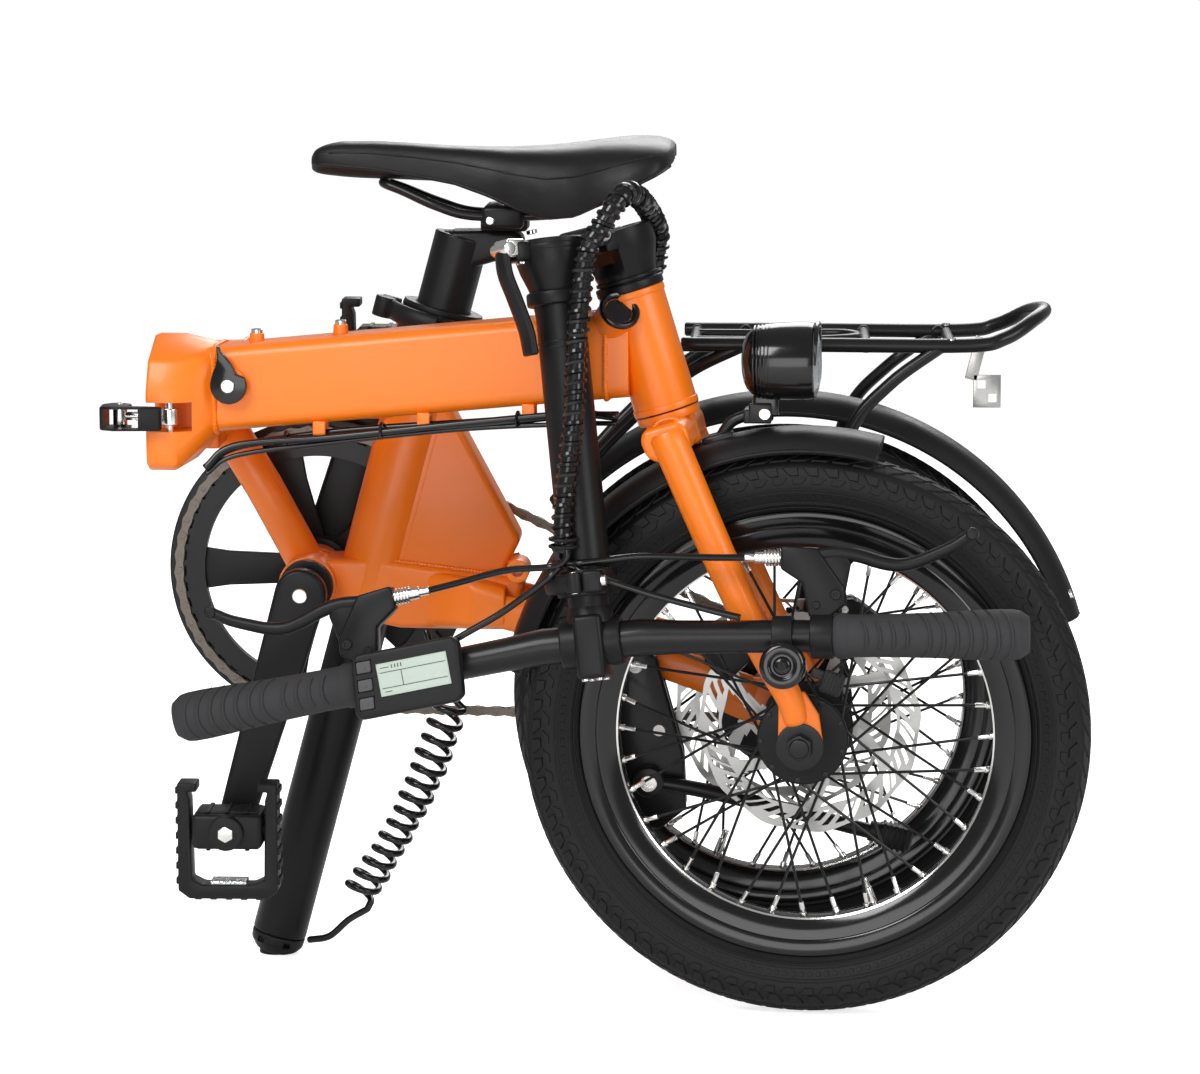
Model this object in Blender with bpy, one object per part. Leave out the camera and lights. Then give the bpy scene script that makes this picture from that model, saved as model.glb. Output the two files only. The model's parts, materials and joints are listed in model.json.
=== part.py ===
"""Folding bicycle with 16 inch wheels, folded, as separate named solids.

Design layout: the bicycle is drawn ride-ready, in millimetres, with the rear axle above
the origin, +X to the rear, +Y to the rider's right and +Z up. Empties on the joint axes then
fold the front half and the handlepost to the rest pose.
"""
import math

import bmesh
import bpy
from mathutils import Matrix, Vector

MM = 0.001
GAP = 0.35 * MM                      # clearance between neighbouring pieces

FINENESS = 0.5                       # share of the full number of sides given to round pieces

# ---- driving dimensions, millimetres unless said otherwise ----
TYRE_R, TYRE_HALF_W = 200.0, 23.5
RIM_APEX_R, RIM_FLANGE_R, BEAD_R, RIM_HALF_W = 132.0, 158.0, 152.5, 14.5
AXLE_Z = TYRE_R
WHEELBASE = 901.0
ROTOR_R, ROTOR_T = 80.0, 1.8
REAR_ROTOR_Y, FRONT_ROTOR_Y = -46.0, -36.0
REAR_DROP_IN, REAR_DROP_OUT, REAR_NUT_END = 58.0, 64.0, 72.0
FRONT_DROP_IN, FRONT_DROP_OUT, FRONT_NUT_END = 46.5, 52.5, 61.5
AXLE_R = 6.0
SPOKES = 18                          # simplified lacing; the real wheel has 36

BB_X, BB_Z = -349.0, 283.0           # bottom bracket
CHAIN_Y = 45.0
RING_R, GUARD_R, CHAIN_H = 100.5, 113.0, 8.0
COG_R = 24.0
CRANK_LEN = 170.0
CRANK_LEAN = math.radians(16.5)      # left arm hangs this far forward of straight down
PEDAL_Y = 92.0                       # inner face of a pedal block
PEDAL_AXIS_Y = 118.0                 # hinge line of the folding platform

POST_LEAN = math.radians(15.0)
POST_FOOT_X = -380.2                 # where the seat post axis meets the floor
POST_R, POST_BORE_R, SEAT_TUBE_R = 20.0, 20.5, 25.0
SEAT_TUBE_LOW, SEAT_TUBE_TOP = 268.0, 487.0      # heights along the post axis
POST_TOP = 556.0

HINGE_X, HINGE_Y = -440.0, -57.0     # main frame hinge, vertical pin
FOLD_GAP = math.radians(4.5)         # the halves stop this far short of parallel
HINGE_Z0, HINGE_Z1 = 383.0, 476.0

STEER_LEAN = math.radians(17.0)
STEER_PT = Vector((-789.6, 0.0, 469.6))
HEAD_R = 22.5
STEM_OFF = 26.3                      # handlepost hinge pin from the steering axis
STEM_FOLD = math.radians(166.0)
STEM_T = 86.2                        # mating plane of the handlepost hinge, along the steering axis
BAR_T = 364.0                        # handlebar centre along the steering axis, post pushed in
BAR_HALF = 291.0
RACK_Z, RACK_HALF = 463.6, 55.0

STEER_DIR = Vector((math.sin(STEER_LEAN), 0.0, math.cos(STEER_LEAN)))
STEER_FWD = Vector((-math.cos(STEER_LEAN), 0.0, math.sin(STEER_LEAN)))
POST_DIR = Vector((math.sin(POST_LEAN), 0.0, math.cos(POST_LEAN)))
POST_OUT = Vector((-math.cos(POST_LEAN), 0.0, math.sin(POST_LEAN)))
Y = Vector((0.0, 1.0, 0.0))
STEM_AXIS = (STEER_FWD + Y).normalized()
STEM_SIDE = (Y - STEER_FWD).normalized()

# the whole bicycle is shifted so that the middle of its footprint is the origin
SHIFT_X, SHIFT_Y = 131.45, 65.6


# ---------------------------------------------------------------- helpers
def clear_scene():
    for o in list(bpy.data.objects):
        bpy.data.objects.remove(o, do_unlink=True)


_materials = {}


def material(name, rgb, rough, metal=0.0):
    m = bpy.data.materials.get(name) or bpy.data.materials.new(name)
    m.use_nodes = True
    b = next(n for n in m.node_tree.nodes if n.type == "BSDF_PRINCIPLED")
    b.inputs["Base Color"].default_value = (*rgb, 1.0)
    b.inputs["Roughness"].default_value = rough
    b.inputs["Metallic"].default_value = metal
    _materials[name] = m
    return m


def raw(bm, name="piece"):
    """A mesh object from a bmesh, not yet placed under a joint."""
    bmesh.ops.recalc_face_normals(bm, faces=bm.faces[:])
    mesh = bpy.data.meshes.new(name)
    bm.to_mesh(mesh)
    bm.free()
    o = bpy.data.objects.new(name, mesh)
    bpy.context.scene.collection.objects.link(o)
    return o


def bake(o):
    """Applies the object's modifiers to its mesh."""
    bpy.context.view_layer.update()
    deps = bpy.context.evaluated_depsgraph_get()
    mesh = bpy.data.meshes.new_from_object(o.evaluated_get(deps))
    o.modifiers.clear()
    o.data = mesh
    return o


def is_closed(o):
    bm = bmesh.new()
    bm.from_mesh(o.data)
    whole = all(len(e.link_faces) == 2 and e.is_contiguous for e in bm.edges)
    bm.free()
    return whole


def combine(base, other, operation):
    """One Boolean step with the EXACT solver, or with MANIFOLD where EXACT leaves the surface open."""
    before = base.data.copy()
    for solver in ("EXACT", "MANIFOLD"):
        base.data = before.copy()
        m = base.modifiers.new("join", "BOOLEAN")
        m.operation, m.solver, m.object = operation, solver, other
        bake(base)
        if is_closed(base):
            return


def boolean(base, others, operation):
    for other in others:
        combine(base, other, operation)
        bpy.data.objects.remove(other, do_unlink=True)
    return base


def fuse(base, *others):
    return boolean(base, others, "UNION")


def cut(base, *others):
    return boolean(base, others, "DIFFERENCE")


def frame_of(point, axis, side=None):
    """A matrix with its origin at point (mm) and local Z along axis."""
    z = Vector(axis).normalized()
    s = Vector(side) if side is not None else (Vector((0, 0, 1)) if abs(z.z) < 0.9 else Vector((1, 0, 0)))
    x = (s - z * s.dot(z)).normalized()
    y = z.cross(x)
    m = Matrix((x, y, z)).transposed().to_4x4()
    m.translation = Vector(point)
    return m


def place_mm(bm, matrix):
    """Moves a bmesh to its place in the design layout, still in millimetres."""
    bmesh.ops.transform(bm, matrix=matrix, verts=bm.verts[:])


def facets(count, least):
    """Sides for a round piece, scaled down because these solids are kept light."""
    return max(least, 2 * round(count * FINENESS / 2))


def lathe(profile, point, axis, segs=32):
    """Closed profile of (radius, height) turned about the axis. Radius 0 ends are poles."""
    segs = facets(segs, 6)
    bm = bmesh.new()
    rings = []
    for r, h in profile:
        if r < 1e-6:
            rings.append([bm.verts.new((0, 0, h))])
        else:
            rings.append([bm.verts.new((r * math.cos(2 * math.pi * i / segs),
                                        r * math.sin(2 * math.pi * i / segs), h)) for i in range(segs)])
    closed = all(len(r) > 1 for r in rings)
    pairs = list(zip(rings, rings[1:])) + ([(rings[-1], rings[0])] if closed else [])
    for a, b in pairs:
        for i in range(segs):
            j = (i + 1) % segs
            if len(a) == 1:
                bm.faces.new((a[0], b[i], b[j]))
            elif len(b) == 1:
                bm.faces.new((a[i], a[j], b[0]))
            else:
                bm.faces.new((a[i], a[j], b[j], b[i]))
    place_mm(bm, frame_of(point, axis))
    return raw(bm)


def rod(a, b, r, segs=16, r2=None):
    """A straight round bar from a to b."""
    a, b = Vector(a), Vector(b)
    length = (b - a).length
    return lathe([(0, 0), (r, 0), (r if r2 is None else r2, length), (0, length)], a, b - a, segs)


def sleeve(a, b, r_out, r_in, segs=24):
    a, b = Vector(a), Vector(b)
    n = (b - a).length
    return lathe([(r_out, 0), (r_out, n), (r_in, n), (r_in, 0)], a, b - a, segs)


def smooth_path(points, steps=6):
    """Points along a smooth curve through the given points."""
    steps = max(2, round(steps * FINENESS))
    p = [Vector(q) for q in points]
    p = [2 * p[0] - p[1]] + p + [2 * p[-1] - p[-2]]
    out = []
    for i in range(1, len(p) - 2):
        for k in range(steps):
            t = k / steps
            a, b, c, d = p[i - 1], p[i], p[i + 1], p[i + 2]
            out.append(0.5 * ((2 * b) + (c - a) * t + (2 * a - 5 * b + 4 * c - d) * t * t
                              + (3 * b - a - 3 * c + d) * t ** 3))
    out.append(p[-2])
    return out


def tube(path, r, segs=10, loop=False, flat=1.0, side=None):
    """A bar of round or oval section swept along a path. r may be one number or one per point."""
    p = [Vector(q) for q in path]
    n = len(p)
    segs = facets(segs, 4)
    bm = bmesh.new()
    rings = []
    up = Vector(side) if side is not None else None
    for i in range(n):
        before, after = (p[i - 1], p[(i + 1) % n]) if loop else (p[max(i - 1, 0)], p[min(i + 1, n - 1)])
        t = (after - before).normalized()
        if up is None:
            up = Vector((0, 0, 1)) if abs(t.z) < 0.8 else Vector((0, 1, 0))
        x = (up - t * up.dot(t)).normalized()
        if side is None:
            up = x
        y = t.cross(x)
        radius = r[i] if isinstance(r, (list, tuple)) else r
        rings.append([bm.verts.new(p[i] + x * radius * math.cos(2 * math.pi * k / segs)
                                   + y * radius * flat * math.sin(2 * math.pi * k / segs))
                      for k in range(segs)])
    for a, b in zip(rings, rings[1:] + ([rings[0]] if loop else [])):
        for k in range(segs):
            j = (k + 1) % segs
            bm.faces.new((a[k], a[j], b[j], b[k]))
    if not loop:
        bm.faces.new(rings[0])
        bm.faces.new(rings[-1])
    return raw(bm)


def xz_plate(outline, y0, y1):
    """An outline of (x, z) points raised from y0 to y1."""
    bm = bmesh.new()
    near = [bm.verts.new((x, y0, z)) for x, z in outline]
    far = [bm.verts.new((x, y1, z)) for x, z in outline]
    bm.faces.new(near)
    bm.faces.new(far)
    for i in range(len(outline)):
        j = (i + 1) % len(outline)
        bm.faces.new((near[i], near[j], far[j], far[i]))
    return raw(bm)


def block(size, centre, x_axis=(1, 0, 0), z_axis=(0, 0, 1), chamfer=0.0):
    """A box with its edges optionally chamfered."""
    bm = bmesh.new()
    bmesh.ops.create_cube(bm, size=1.0)
    bmesh.ops.transform(bm, matrix=Matrix.Diagonal((*size, 1.0)), verts=bm.verts[:])
    if chamfer:
        bmesh.ops.bevel(bm, geom=bm.edges[:], offset=chamfer, segments=1, affect="EDGES")
    place_mm(bm, frame_of(centre, z_axis, x_axis))
    return raw(bm)


def ring_sector(profile, centre, a0, a1, steps):
    """A closed (radius, y) profile swept about a wheel axle from angle a0 to a1, in degrees."""
    bm = bmesh.new()
    rings = []
    for i in range(steps + 1):
        a = math.radians(a0 + (a1 - a0) * i / steps)
        rings.append([bm.verts.new((centre[0] + r * math.cos(a), y, centre[1] + r * math.sin(a)))
                      for r, y in profile])
    n = len(profile)
    for a, b in zip(rings, rings[1:]):
        for k in range(n):
            j = (k + 1) % n
            bm.faces.new((a[k], a[j], b[j], b[k]))
    bm.faces.new(rings[0])
    bm.faces.new(rings[-1])
    return raw(bm)


def pivot(name, parent, point, axis, angle=0.0):
    """An empty on a joint axis. Its children are drawn in the design layout and turn with it."""
    e = bpy.data.objects.new(name, None)
    bpy.context.scene.collection.objects.link(e)
    home = Matrix.Scale(MM, 4) @ frame_of(point, axis)
    home = Matrix.Translation(home.translation) @ home.to_3x3().normalized().to_4x4()
    e["home"] = [x for row in home for x in row]
    if parent is not None:
        e.parent = parent
        e.matrix_parent_inverse = home_of(parent).inverted()
    e.matrix_basis = home @ Matrix.Rotation(angle, 4, "Z")
    return e


def home_of(e):
    v = list(e["home"])
    return Matrix((v[0:4], v[4:8], v[8:12], v[12:16]))


def node(o, name, parent, mat, smooth=True):
    """Names a finished solid, puts its origin on its joint and hangs it under the joint's empty."""
    o.name = name
    o.data.name = name
    home = home_of(parent)
    o.data.transform(home.inverted() @ Matrix.Scale(MM, 4))
    o.parent = parent
    o.matrix_parent_inverse = Matrix.Identity(4)
    o.data.materials.clear()
    o.data.materials.append(_materials[mat])
    if smooth:
        o.data.shade_smooth()
        o.data.set_sharp_from_angle(angle=math.radians(35))
    return o


def on_post(h, across=0.0, y=0.0):
    """A point at height h (mm above the floor along the seat post axis)."""
    foot = Vector((POST_FOOT_X, 0.0, 0.0))
    return foot + POST_DIR * h + POST_OUT * across + Y * y


def on_steer(t, fwd=0.0, y=0.0):
    return STEER_PT + STEER_DIR * t + STEER_FWD * fwd + Y * y


# ---------------------------------------------------------------- wheels
def tyre(cx):
    prof = [(152.7, 10.6), (158.2, 10.9), (160.2, 15.2), (178, TYRE_HALF_W), (193, 18), (TYRE_R, 5)]
    prof = [(r, y) for r, y in prof] + [(r, -y) for r, y in reversed(prof)]
    return lathe(prof, (cx, 0, AXLE_Z), (0, 1, 0), 52)


def rim():
    half = [(RIM_APEX_R, 8.5), (143, 13.0), (RIM_FLANGE_R, RIM_HALF_W), (RIM_FLANGE_R, 11.5), (152.2, 11.5)]
    return half + [(r, -y) for r, y in reversed(half)]


def make_rim(cx):
    return lathe(rim(), (cx, 0, AXLE_Z), (0, 1, 0), 52)


def hub_and_spokes(cx, flange_r, flange_y, shell_r, end_y, bore):
    half = [(bore, end_y), (11.0, end_y), (11.0, flange_y + 4), (flange_r, flange_y + 2.4),
            (flange_r, flange_y - 2.4), (shell_r, flange_y - 4)]
    prof = half + [(r, -y) for r, y in reversed(half)]
    hub = lathe(prof, (cx, 0, AXLE_Z), (0, 1, 0), 28)
    spokes = []
    for i in range(SPOKES):
        a = 2 * math.pi * (i + 0.5) / SPOKES
        s = 1 if i % 2 else -1
        lean = 0.16 * (1 if (i // 2) % 2 else -1)
        r0 = flange_r - 3.0
        p = (cx + r0 * math.cos(a + lean), s * flange_y, AXLE_Z + r0 * math.sin(a + lean))
        r1 = RIM_APEX_R - 2.2
        q = (cx + r1 * math.cos(a), s * 2.0, AXLE_Z + r1 * math.sin(a))
        spokes.append(tube([p, q], 1.4, 4))
    return fuse(hub, *spokes)


def rotor(cx, y, inner):
    """Brake disc: friction ring and hub ring joined by six arms."""
    radii, columns = (inner, 35.0, 62.0, ROTOR_R), 24
    bm = bmesh.new()
    sides = []
    for face_y in (y - ROTOR_T / 2, y + ROTOR_T / 2):
        sides.append([[bm.verts.new((cx + r * math.cos(2 * math.pi * c / columns), face_y,
                                     AXLE_Z + r * math.sin(2 * math.pi * c / columns)))
                       for c in range(columns)] for r in radii])
    solid = {(i, c) for i in range(3) for c in range(columns) if i != 1 or c % 4 == 0}
    for i, c in sorted(solid):
        d = (c + 1) % columns
        for grid in sides:
            bm.faces.new((grid[i][c], grid[i + 1][c], grid[i + 1][d], grid[i][d]))
        walls = [((i, c), (i, d), (i - 1, c)), ((i + 1, c), (i + 1, d), (i + 1, c)),
                 ((i, c), (i + 1, c), (i, (c - 1) % columns)), ((i, d), (i + 1, d), (i, d))]
        for p, q, beyond in walls:
            if beyond not in solid:
                bm.faces.new([sides[0][p[0]][p[1]], sides[0][q[0]][q[1]], sides[1][q[0]][q[1]],
                              sides[1][p[0]][p[1]]])
    return raw(bm)


def axle(cx, inner, outer, end):
    """Threaded axle with a hexagon nut at each end."""
    bar = rod((cx, -outer - 1, AXLE_Z), (cx, outer + 1, AXLE_Z), AXLE_R - 0.3, 20)
    nuts = [rod((cx, s * (outer + GAP / MM), AXLE_Z), (cx, s * end, AXLE_Z), 9.5, 6) for s in (1, -1)]
    return fuse(bar, *nuts)


def caliper(centre, angle, size, slot_y):
    """A brake caliper body with a slot for the rotor. angle turns it about the axle direction."""
    x = (math.cos(angle), 0, math.sin(angle))
    z = (-math.sin(angle), 0, math.cos(angle))
    body = block(size, centre, x, z, 3.0)
    slot = block((size[0] + 10, 4.0, size[2]), (centre[0] - z[0] * 9, slot_y, centre[2] - z[2] * 9), x, z)
    return cut(body, slot)


# ---------------------------------------------------------------- rear half
def loft(sections):
    """A solid skinned over rings of 3-D points that all have the same count."""
    bm = bmesh.new()
    rings = [[bm.verts.new(p) for p in ring] for ring in sections]
    n = len(rings[0])
    for a, b in zip(rings, rings[1:]):
        for k in range(n):
            j = (k + 1) % n
            bm.faces.new((a[k], a[j], b[j], b[k]))
    bm.faces.new(rings[0])
    bm.faces.new(rings[-1])
    return raw(bm)


def rounded_box(half_y, z0, z1, r):
    """Twelve (y, z) points round a box with cut corners, starting at the lower right."""
    c = r * 0.35
    right = [(half_y - r, z0), (half_y - c, z0 + c), (half_y, z0 + r), (half_y, z1 - r), (half_y - c, z1 - c),
             (half_y - r, z1)]
    return right + [(-y, z) for y, z in reversed(right)]


def hinge_face(z0, z1, half_y, crown):
    """Outline of a hinge casting: square below, domed on top."""
    right = [(half_y - 8, z0), (half_y - 1, z0 + 4), (half_y, z0 + 12), (half_y, z1 - 38), (half_y - 9, z1 - 16),
             (crown, z1)]
    return right + [(-y * 0.88, z) for y, z in reversed(right)]


def at_x(x, ring):
    return [(x, y, z) for y, z in ring]


def knuckle(z0, z1, toward, r=9.5):
    """One barrel of the main hinge with the arm that ties it to its casting."""
    barrel = rod((HINGE_X, HINGE_Y, z0), (HINGE_X, HINGE_Y, z1), r, 24)
    arm = block((30, 46, z1 - z0 - 0.6), (HINGE_X + toward * (15.4 + GAP / MM), HINGE_Y + 23, (z0 + z1) / 2))
    return fuse(barrel, arm)


def rear_casting():
    face = hinge_face(HINGE_Z0 + 1, 459, 38, 10)
    body = loft([at_x(HINGE_X + GAP / MM, face), at_x(HINGE_X + 20, face),
                 at_x(HINGE_X + 46, rounded_box(23, 403, 459, 8))])
    return fuse(body, knuckle(386, 404.6, 1), knuckle(441.4, 455, 1))


def rear_frame():
    seat = rod(on_post(SEAT_TUBE_LOW), on_post(SEAT_TUBE_TOP), SEAT_TUBE_R, 32)
    shell = rod((BB_X, -34, BB_Z), (BB_X, 34, BB_Z), 21.0, 28)
    strut = tube([(-414, 0, 402), (-384, 0, 352), (BB_X - 2, 0, BB_Z + 8)], 14.0, 20)
    beam = loft([at_x(-396, rounded_box(22.5, 403.5, 458.5, 8)), at_x(-262, rounded_box(22.5, 404, 459, 8))])
    gusset = loft([[(x, y, z) for x, z in ((-292, 446), (-262, 445), (-193, 316), (-206, 290), (-300, 283))]
                   for y in (-19.0, 19.0)])
    yoke = loft([[(x, y, z) for x, z in ((-362, 300), (-300, 301.5), (-189, 287), (-201, 249), (-282, 250),
                                         (-352, 264))] for y in (-24.5, 24.5)])
    tail = loft([at_x(-262, rounded_box(24.2, 250.5, 293, 6)), at_x(-228, rounded_box(44, 253, 289, 6)),
                 at_x(-203, rounded_box(46, 254, 283, 6))])
    frame = fuse(rear_casting(), beam, seat, strut, shell, gusset, yoke, tail)
    stays = []
    for s in (1, -1):
        stays.append(tube(smooth_path([(-215, s * 39, 268), (-150, s * 41.5, 251), (-80, s * 55, 230),
                                       (-24, s * 60.5, 211)], 4), 12.5, 12, flat=0.5, side=(0, 0, 1)))
        stays.append(xz_plate(dropout_outline(s < 0), *sorted((s * REAR_DROP_IN, s * REAR_DROP_OUT))))
    frame = fuse(frame, *stays)
    boss = sleeve((-194, -44, 296), (-194, -15, 296), 8.5, 4.0, 20)
    frame = fuse(frame, boss, kickstand_mount())
    bore = rod(on_post(SEAT_TUBE_LOW - 60), on_post(SEAT_TUBE_TOP + 30), POST_BORE_R, 32)
    bb = rod((BB_X, -60, BB_Z), (BB_X, 60, BB_Z), 15.5, 28)
    axle_hole = rod((0, -90, AXLE_Z), (0, 90, AXLE_Z), AXLE_R, 20)
    tyre_room = rod((0, -30, AXLE_Z), (0, 30, AXLE_Z), TYRE_R + 7, 64)
    pin_hole = rod((HINGE_X, HINGE_Y, 370), (HINGE_X, HINGE_Y, 480), 4.0, 20)
    latch_slot = block((44, 60, 27), (HINGE_X + 20, 38, 421))
    return fuse(cut(frame, bore, bb, axle_hole, tyre_room, pin_hole, latch_slot), bottom_bracket())


def dropout_outline(left):
    """The axle plate; the left one carries a lug for the brake caliper."""
    pts = [(-44, 197), (-18, 186), (0, 183), (12, 187), (17, 200), (15, 216)]
    pts += [(34, 244), (30, 258), (16, 258), (2, 236)] if left else [(8, 234), (-4, 234)]
    return pts + [(-14, 222), (-44, 224)]


def hinge_pin():
    pin = rod((HINGE_X, HINGE_Y, 385.2), (HINGE_X, HINGE_Y, 456.8), 3.6, 20)
    heads = [rod((HINGE_X, HINGE_Y, a), (HINGE_X, HINGE_Y, b), 6.5, 20) for a, b in ((382.2, 385.6), (456.4, 459.6))]
    return fuse(pin, *heads)


def bottom_bracket():
    """Bearing cups pressed into the shell, joined by their sleeve."""
    half = [(10.3, 42), (19.5, 42), (19.5, 33), (16.5, 33)]
    return lathe(half + [(r, -y) for r, y in reversed(half)], (BB_X, 0, BB_Z), (0, 1, 0), 28)


def seat_collar():
    """Clamp ring over the slotted top of the seat tube, with the ears for its cam lever in front."""
    t = SEAT_TUBE_TOP
    ring = lathe([(29.5, -12), (29.5, 15), (20.4, 15), (20.4, GAP / MM), (SEAT_TUBE_R + GAP / MM, GAP / MM),
                  (SEAT_TUBE_R + GAP / MM, -12)], on_post(t), POST_DIR, 32)
    ear = block((22, 7, 15), on_post(t + 4, 35, 9), POST_OUT, POST_DIR, 1.0)
    return fuse(ring, ear)


def seat_lever():
    """Cam lever: a thick eye in front of the collar and a blade that wraps its left side."""
    t = SEAT_TUBE_TOP + 4
    eye = rod(on_post(t - 7.5, 42, -4), on_post(t + 7.5, 42, -4), 7.6, 24)
    pts = [on_post(t, 41, -5)]
    for k in range(9):
        a = math.radians(18 + 114 * k / 8)
        pts.append(on_post(t, 35.5 * math.cos(a), -35.5 * math.sin(a)))
    blade = tube(pts, [4.2] * 7 + [3.8, 3.2, 2.4], 12, flat=1.7, side=tuple(POST_DIR.cross(Y)))
    return fuse(eye, blade)


def fender(cx, a0, a1, r_top, steps):
    """A curved mudguard with rolled edges."""
    outer = [(r_top - 14, -28), (r_top - 3, -18), (r_top, 0), (r_top - 3, 18), (r_top - 14, 28)]
    inner = [(r - 2.4, y * 0.93) for r, y in reversed(outer)]
    return ring_sector(outer + inner, (cx, AXLE_Z), a0, a1, steps)


def rear_rack():
    """Luggage rack: one bent rail loop, two cross bars, an inner hoop and four curved stays."""
    z, w = RACK_Z, RACK_HALF
    loop = [(-74, w, z), (20, w, z), (128, w, z), (156, w * 0.96, z + 5), (178, w * 0.62, z + 17),
            (187, 0, z + 21), (178, -w * 0.62, z + 17), (156, -w * 0.96, z + 5), (128, -w, z), (20, -w, z),
            (-74, -w, z)]
    rack = tube(smooth_path(loop, 4), 5.2, 10)
    bars = [rod((x, -w, z - 1), (x, w, z - 1), 4.0, 10) for x in (-66, 57, 118)]
    hoop = tube(smooth_path([(-66, 25, z), (0, 25, z), (40, 20, z + 1), (52, 0, z + 1), (40, -20, z + 1),
                             (0, -25, z), (-66, -25, z)], 4), 3.2, 8)
    stays = []
    for s in (1, -1):
        stays.append(tube(smooth_path([(112, s * w, z), (74, s * 57, z - 28), (46, s * 62, z - 62),
                                       (30, s * 68, z - 130), (10, s * 69.5, z - 225)], 5), 4.6, 10))
        stays.append(tube(smooth_path([(-30, s * w, z), (-72, s * 50, z - 22), (-118, s * 40, z - 62),
                                       (-168, s * 29, z - 118)], 5), 4.6, 10))
    plate_tab = block((20, 1.6, 24), (146, -8, z - 38), (1, 0, 0.1), (0, 0, 1))
    strap = block((9, 1.6, 32), (138, -8, z - 14), (1, 0, -0.25), (0.25, 0, 1))
    tab_bar = rod((122, -w, z - 1), (139, -8, z - 4), 2.6, 8)
    return fuse(rack, *bars, hoop, *stays, tab_bar, strap, plate_tab)


def chain():
    """The chain as one closed band round the chainring and the sprocket."""
    dx, dz = 0 - BB_X, AXLE_Z - BB_Z
    d = math.hypot(dx, dz)
    base = math.atan2(dz, dx)
    tilt = math.acos((RING_R - COG_R) / d)

    def outline(grow):
        pts = []
        for k in range(25):
            a = base + tilt + (2 * math.pi - 2 * tilt) * k / 24
            pts.append((BB_X + (RING_R + grow) * math.cos(a), BB_Z + (RING_R + grow) * math.sin(a)))
        for k in range(9):
            a = base - tilt + 2 * tilt * k / 8
            pts.append(((COG_R + grow) * math.cos(a), AXLE_Z + (COG_R + grow) * math.sin(a)))
        return pts
    bm = bmesh.new()
    rings = []
    for grow, y in ((0.6, -3.6), (CHAIN_H, -3.6), (CHAIN_H, 3.6), (0.6, 3.6)):
        rings.append([bm.verts.new((x, CHAIN_Y + y, z)) for x, z in outline(grow)])
    for a, b in zip(rings, rings[1:] + [rings[0]]):
        for k in range(len(a)):
            j = (k + 1) % len(a)
            bm.faces.new((a[k], a[j], b[j], b[k]))
    return raw(bm)


def coil_cable():
    """Coiled battery lead from under the chainstay yoke to the foot of the seat post."""
    a, b = Vector((-243, -42, 198)), Vector((-314, -36, 52))
    axis = (b - a).normalized()
    u = axis.cross(Y).normalized()
    v = axis.cross(u)
    turns, per_turn, pts = 8, 6, [Vector((-262, -30, 246)), Vector((-254, -36, 224))]
    for k in range(turns * per_turn + 1):
        t = k / (turns * per_turn)
        w = 2 * math.pi * turns * t
        pts.append(a.lerp(b, t) + (u * math.cos(w) + v * math.sin(w)) * 10.0)
    pts += [Vector((-318, -30, 30)), Vector((-336, -22, 16)), Vector((-348, -14, 14))]
    return tube(pts, 2.2, 4)


def kickstand_mount():
    """The stand's bracket under the left chainstay."""
    outline = [(-124, 252), (-92, 240), (-72, 168), (-70, 128), (-90, 112), (-110, 116), (-122, 138)]
    return xz_plate(outline, -76, -48.5)


def kickstand_leg():
    pts = smooth_path([(-97, -84, 150), (-60, -84, 144), (0, -82, 130), (46, -80, 118), (74, -80, 111)], 3)
    leg = tube(pts, 5.5, 10)
    hub = rod((-97, -90, 150), (-97, -76 - GAP / MM, 150), 11, 20)
    foot = block((26, 15, 17), (80, -80, 110), (1, 0, -0.25), (0.25, 0, 1), 3.0)
    return fuse(hub, leg, foot)


# ---------------------------------------------------------------- seat post and saddle
def seatpost():
    """Post with a cranked neck that carries the saddle clamp."""
    post = rod(on_post(16), on_post(POST_TOP), POST_R, 32)
    neck = loft([[(x, y, z) for x, z in ((-252, 541), (-196, 541), (-190, 532), (-196, 521), (-250, 519))]
                 for y in (-11.0, 11.0)])
    cradle = block((34, 34, 10), (-205, 0, 546), (1, 0, 0), (0, 0, 1), 2.0)
    top = block((30, 60, 16), (-205, 0, 552), (1, 0, 0), (0, 0, 1), 2.0)
    grooves = [rod((-240, s * 22, 553), (-150, s * 22, 553), 4.9, 14) for s in (1, -1)]
    cavity = rod(on_post(2), on_post(60), 16.5, 28)
    return cut(fuse(post, neck, cradle, top), *grooves, cavity)


def seatpost_foot():
    """Plug in the bottom of the post; the folded bicycle stands on its flat sole."""
    body = lathe([(0, 1.6), (14, 1.6), (19.5, 8.5), (20, 15.6), (16.1, 15.6), (16.1, 40), (0, 40)],
                 on_post(0), POST_DIR, 28)
    lid = block((80, 80, 30), (POST_FOOT_X, 0, -15))
    flat = cut(body, lid)
    pads = rod((POST_FOOT_X + 1.5, 0, 0), (POST_FOOT_X + 1.5, 0, 8), 12.5, 28)
    holes = [block((5, 60, 5), (POST_FOOT_X + 1.0 + x, 0, 10.5 - 0.27 * x), (1, 0, -0.27), (0.27, 0, 1))
             for x in (-9.0, 10.0)]
    return cut(fuse(flat, pads), *holes)


def saddle_rails():
    """Two steel rails bent from one rod, joined at the nose."""
    half = [(-292, 8, 575), (-278, 14, 570), (-254, 21, 560), (-228, 22, 553), (-182, 22, 553), (-160, 27, 556),
            (-138, 33, 563), (-122, 37, 570)]
    pts = [(x, -y, z) for x, y, z in reversed(half)] + [(x, y, z) for x, y, z in half]
    return tube(smooth_path(pts, 3), 3.5, 10)


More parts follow.
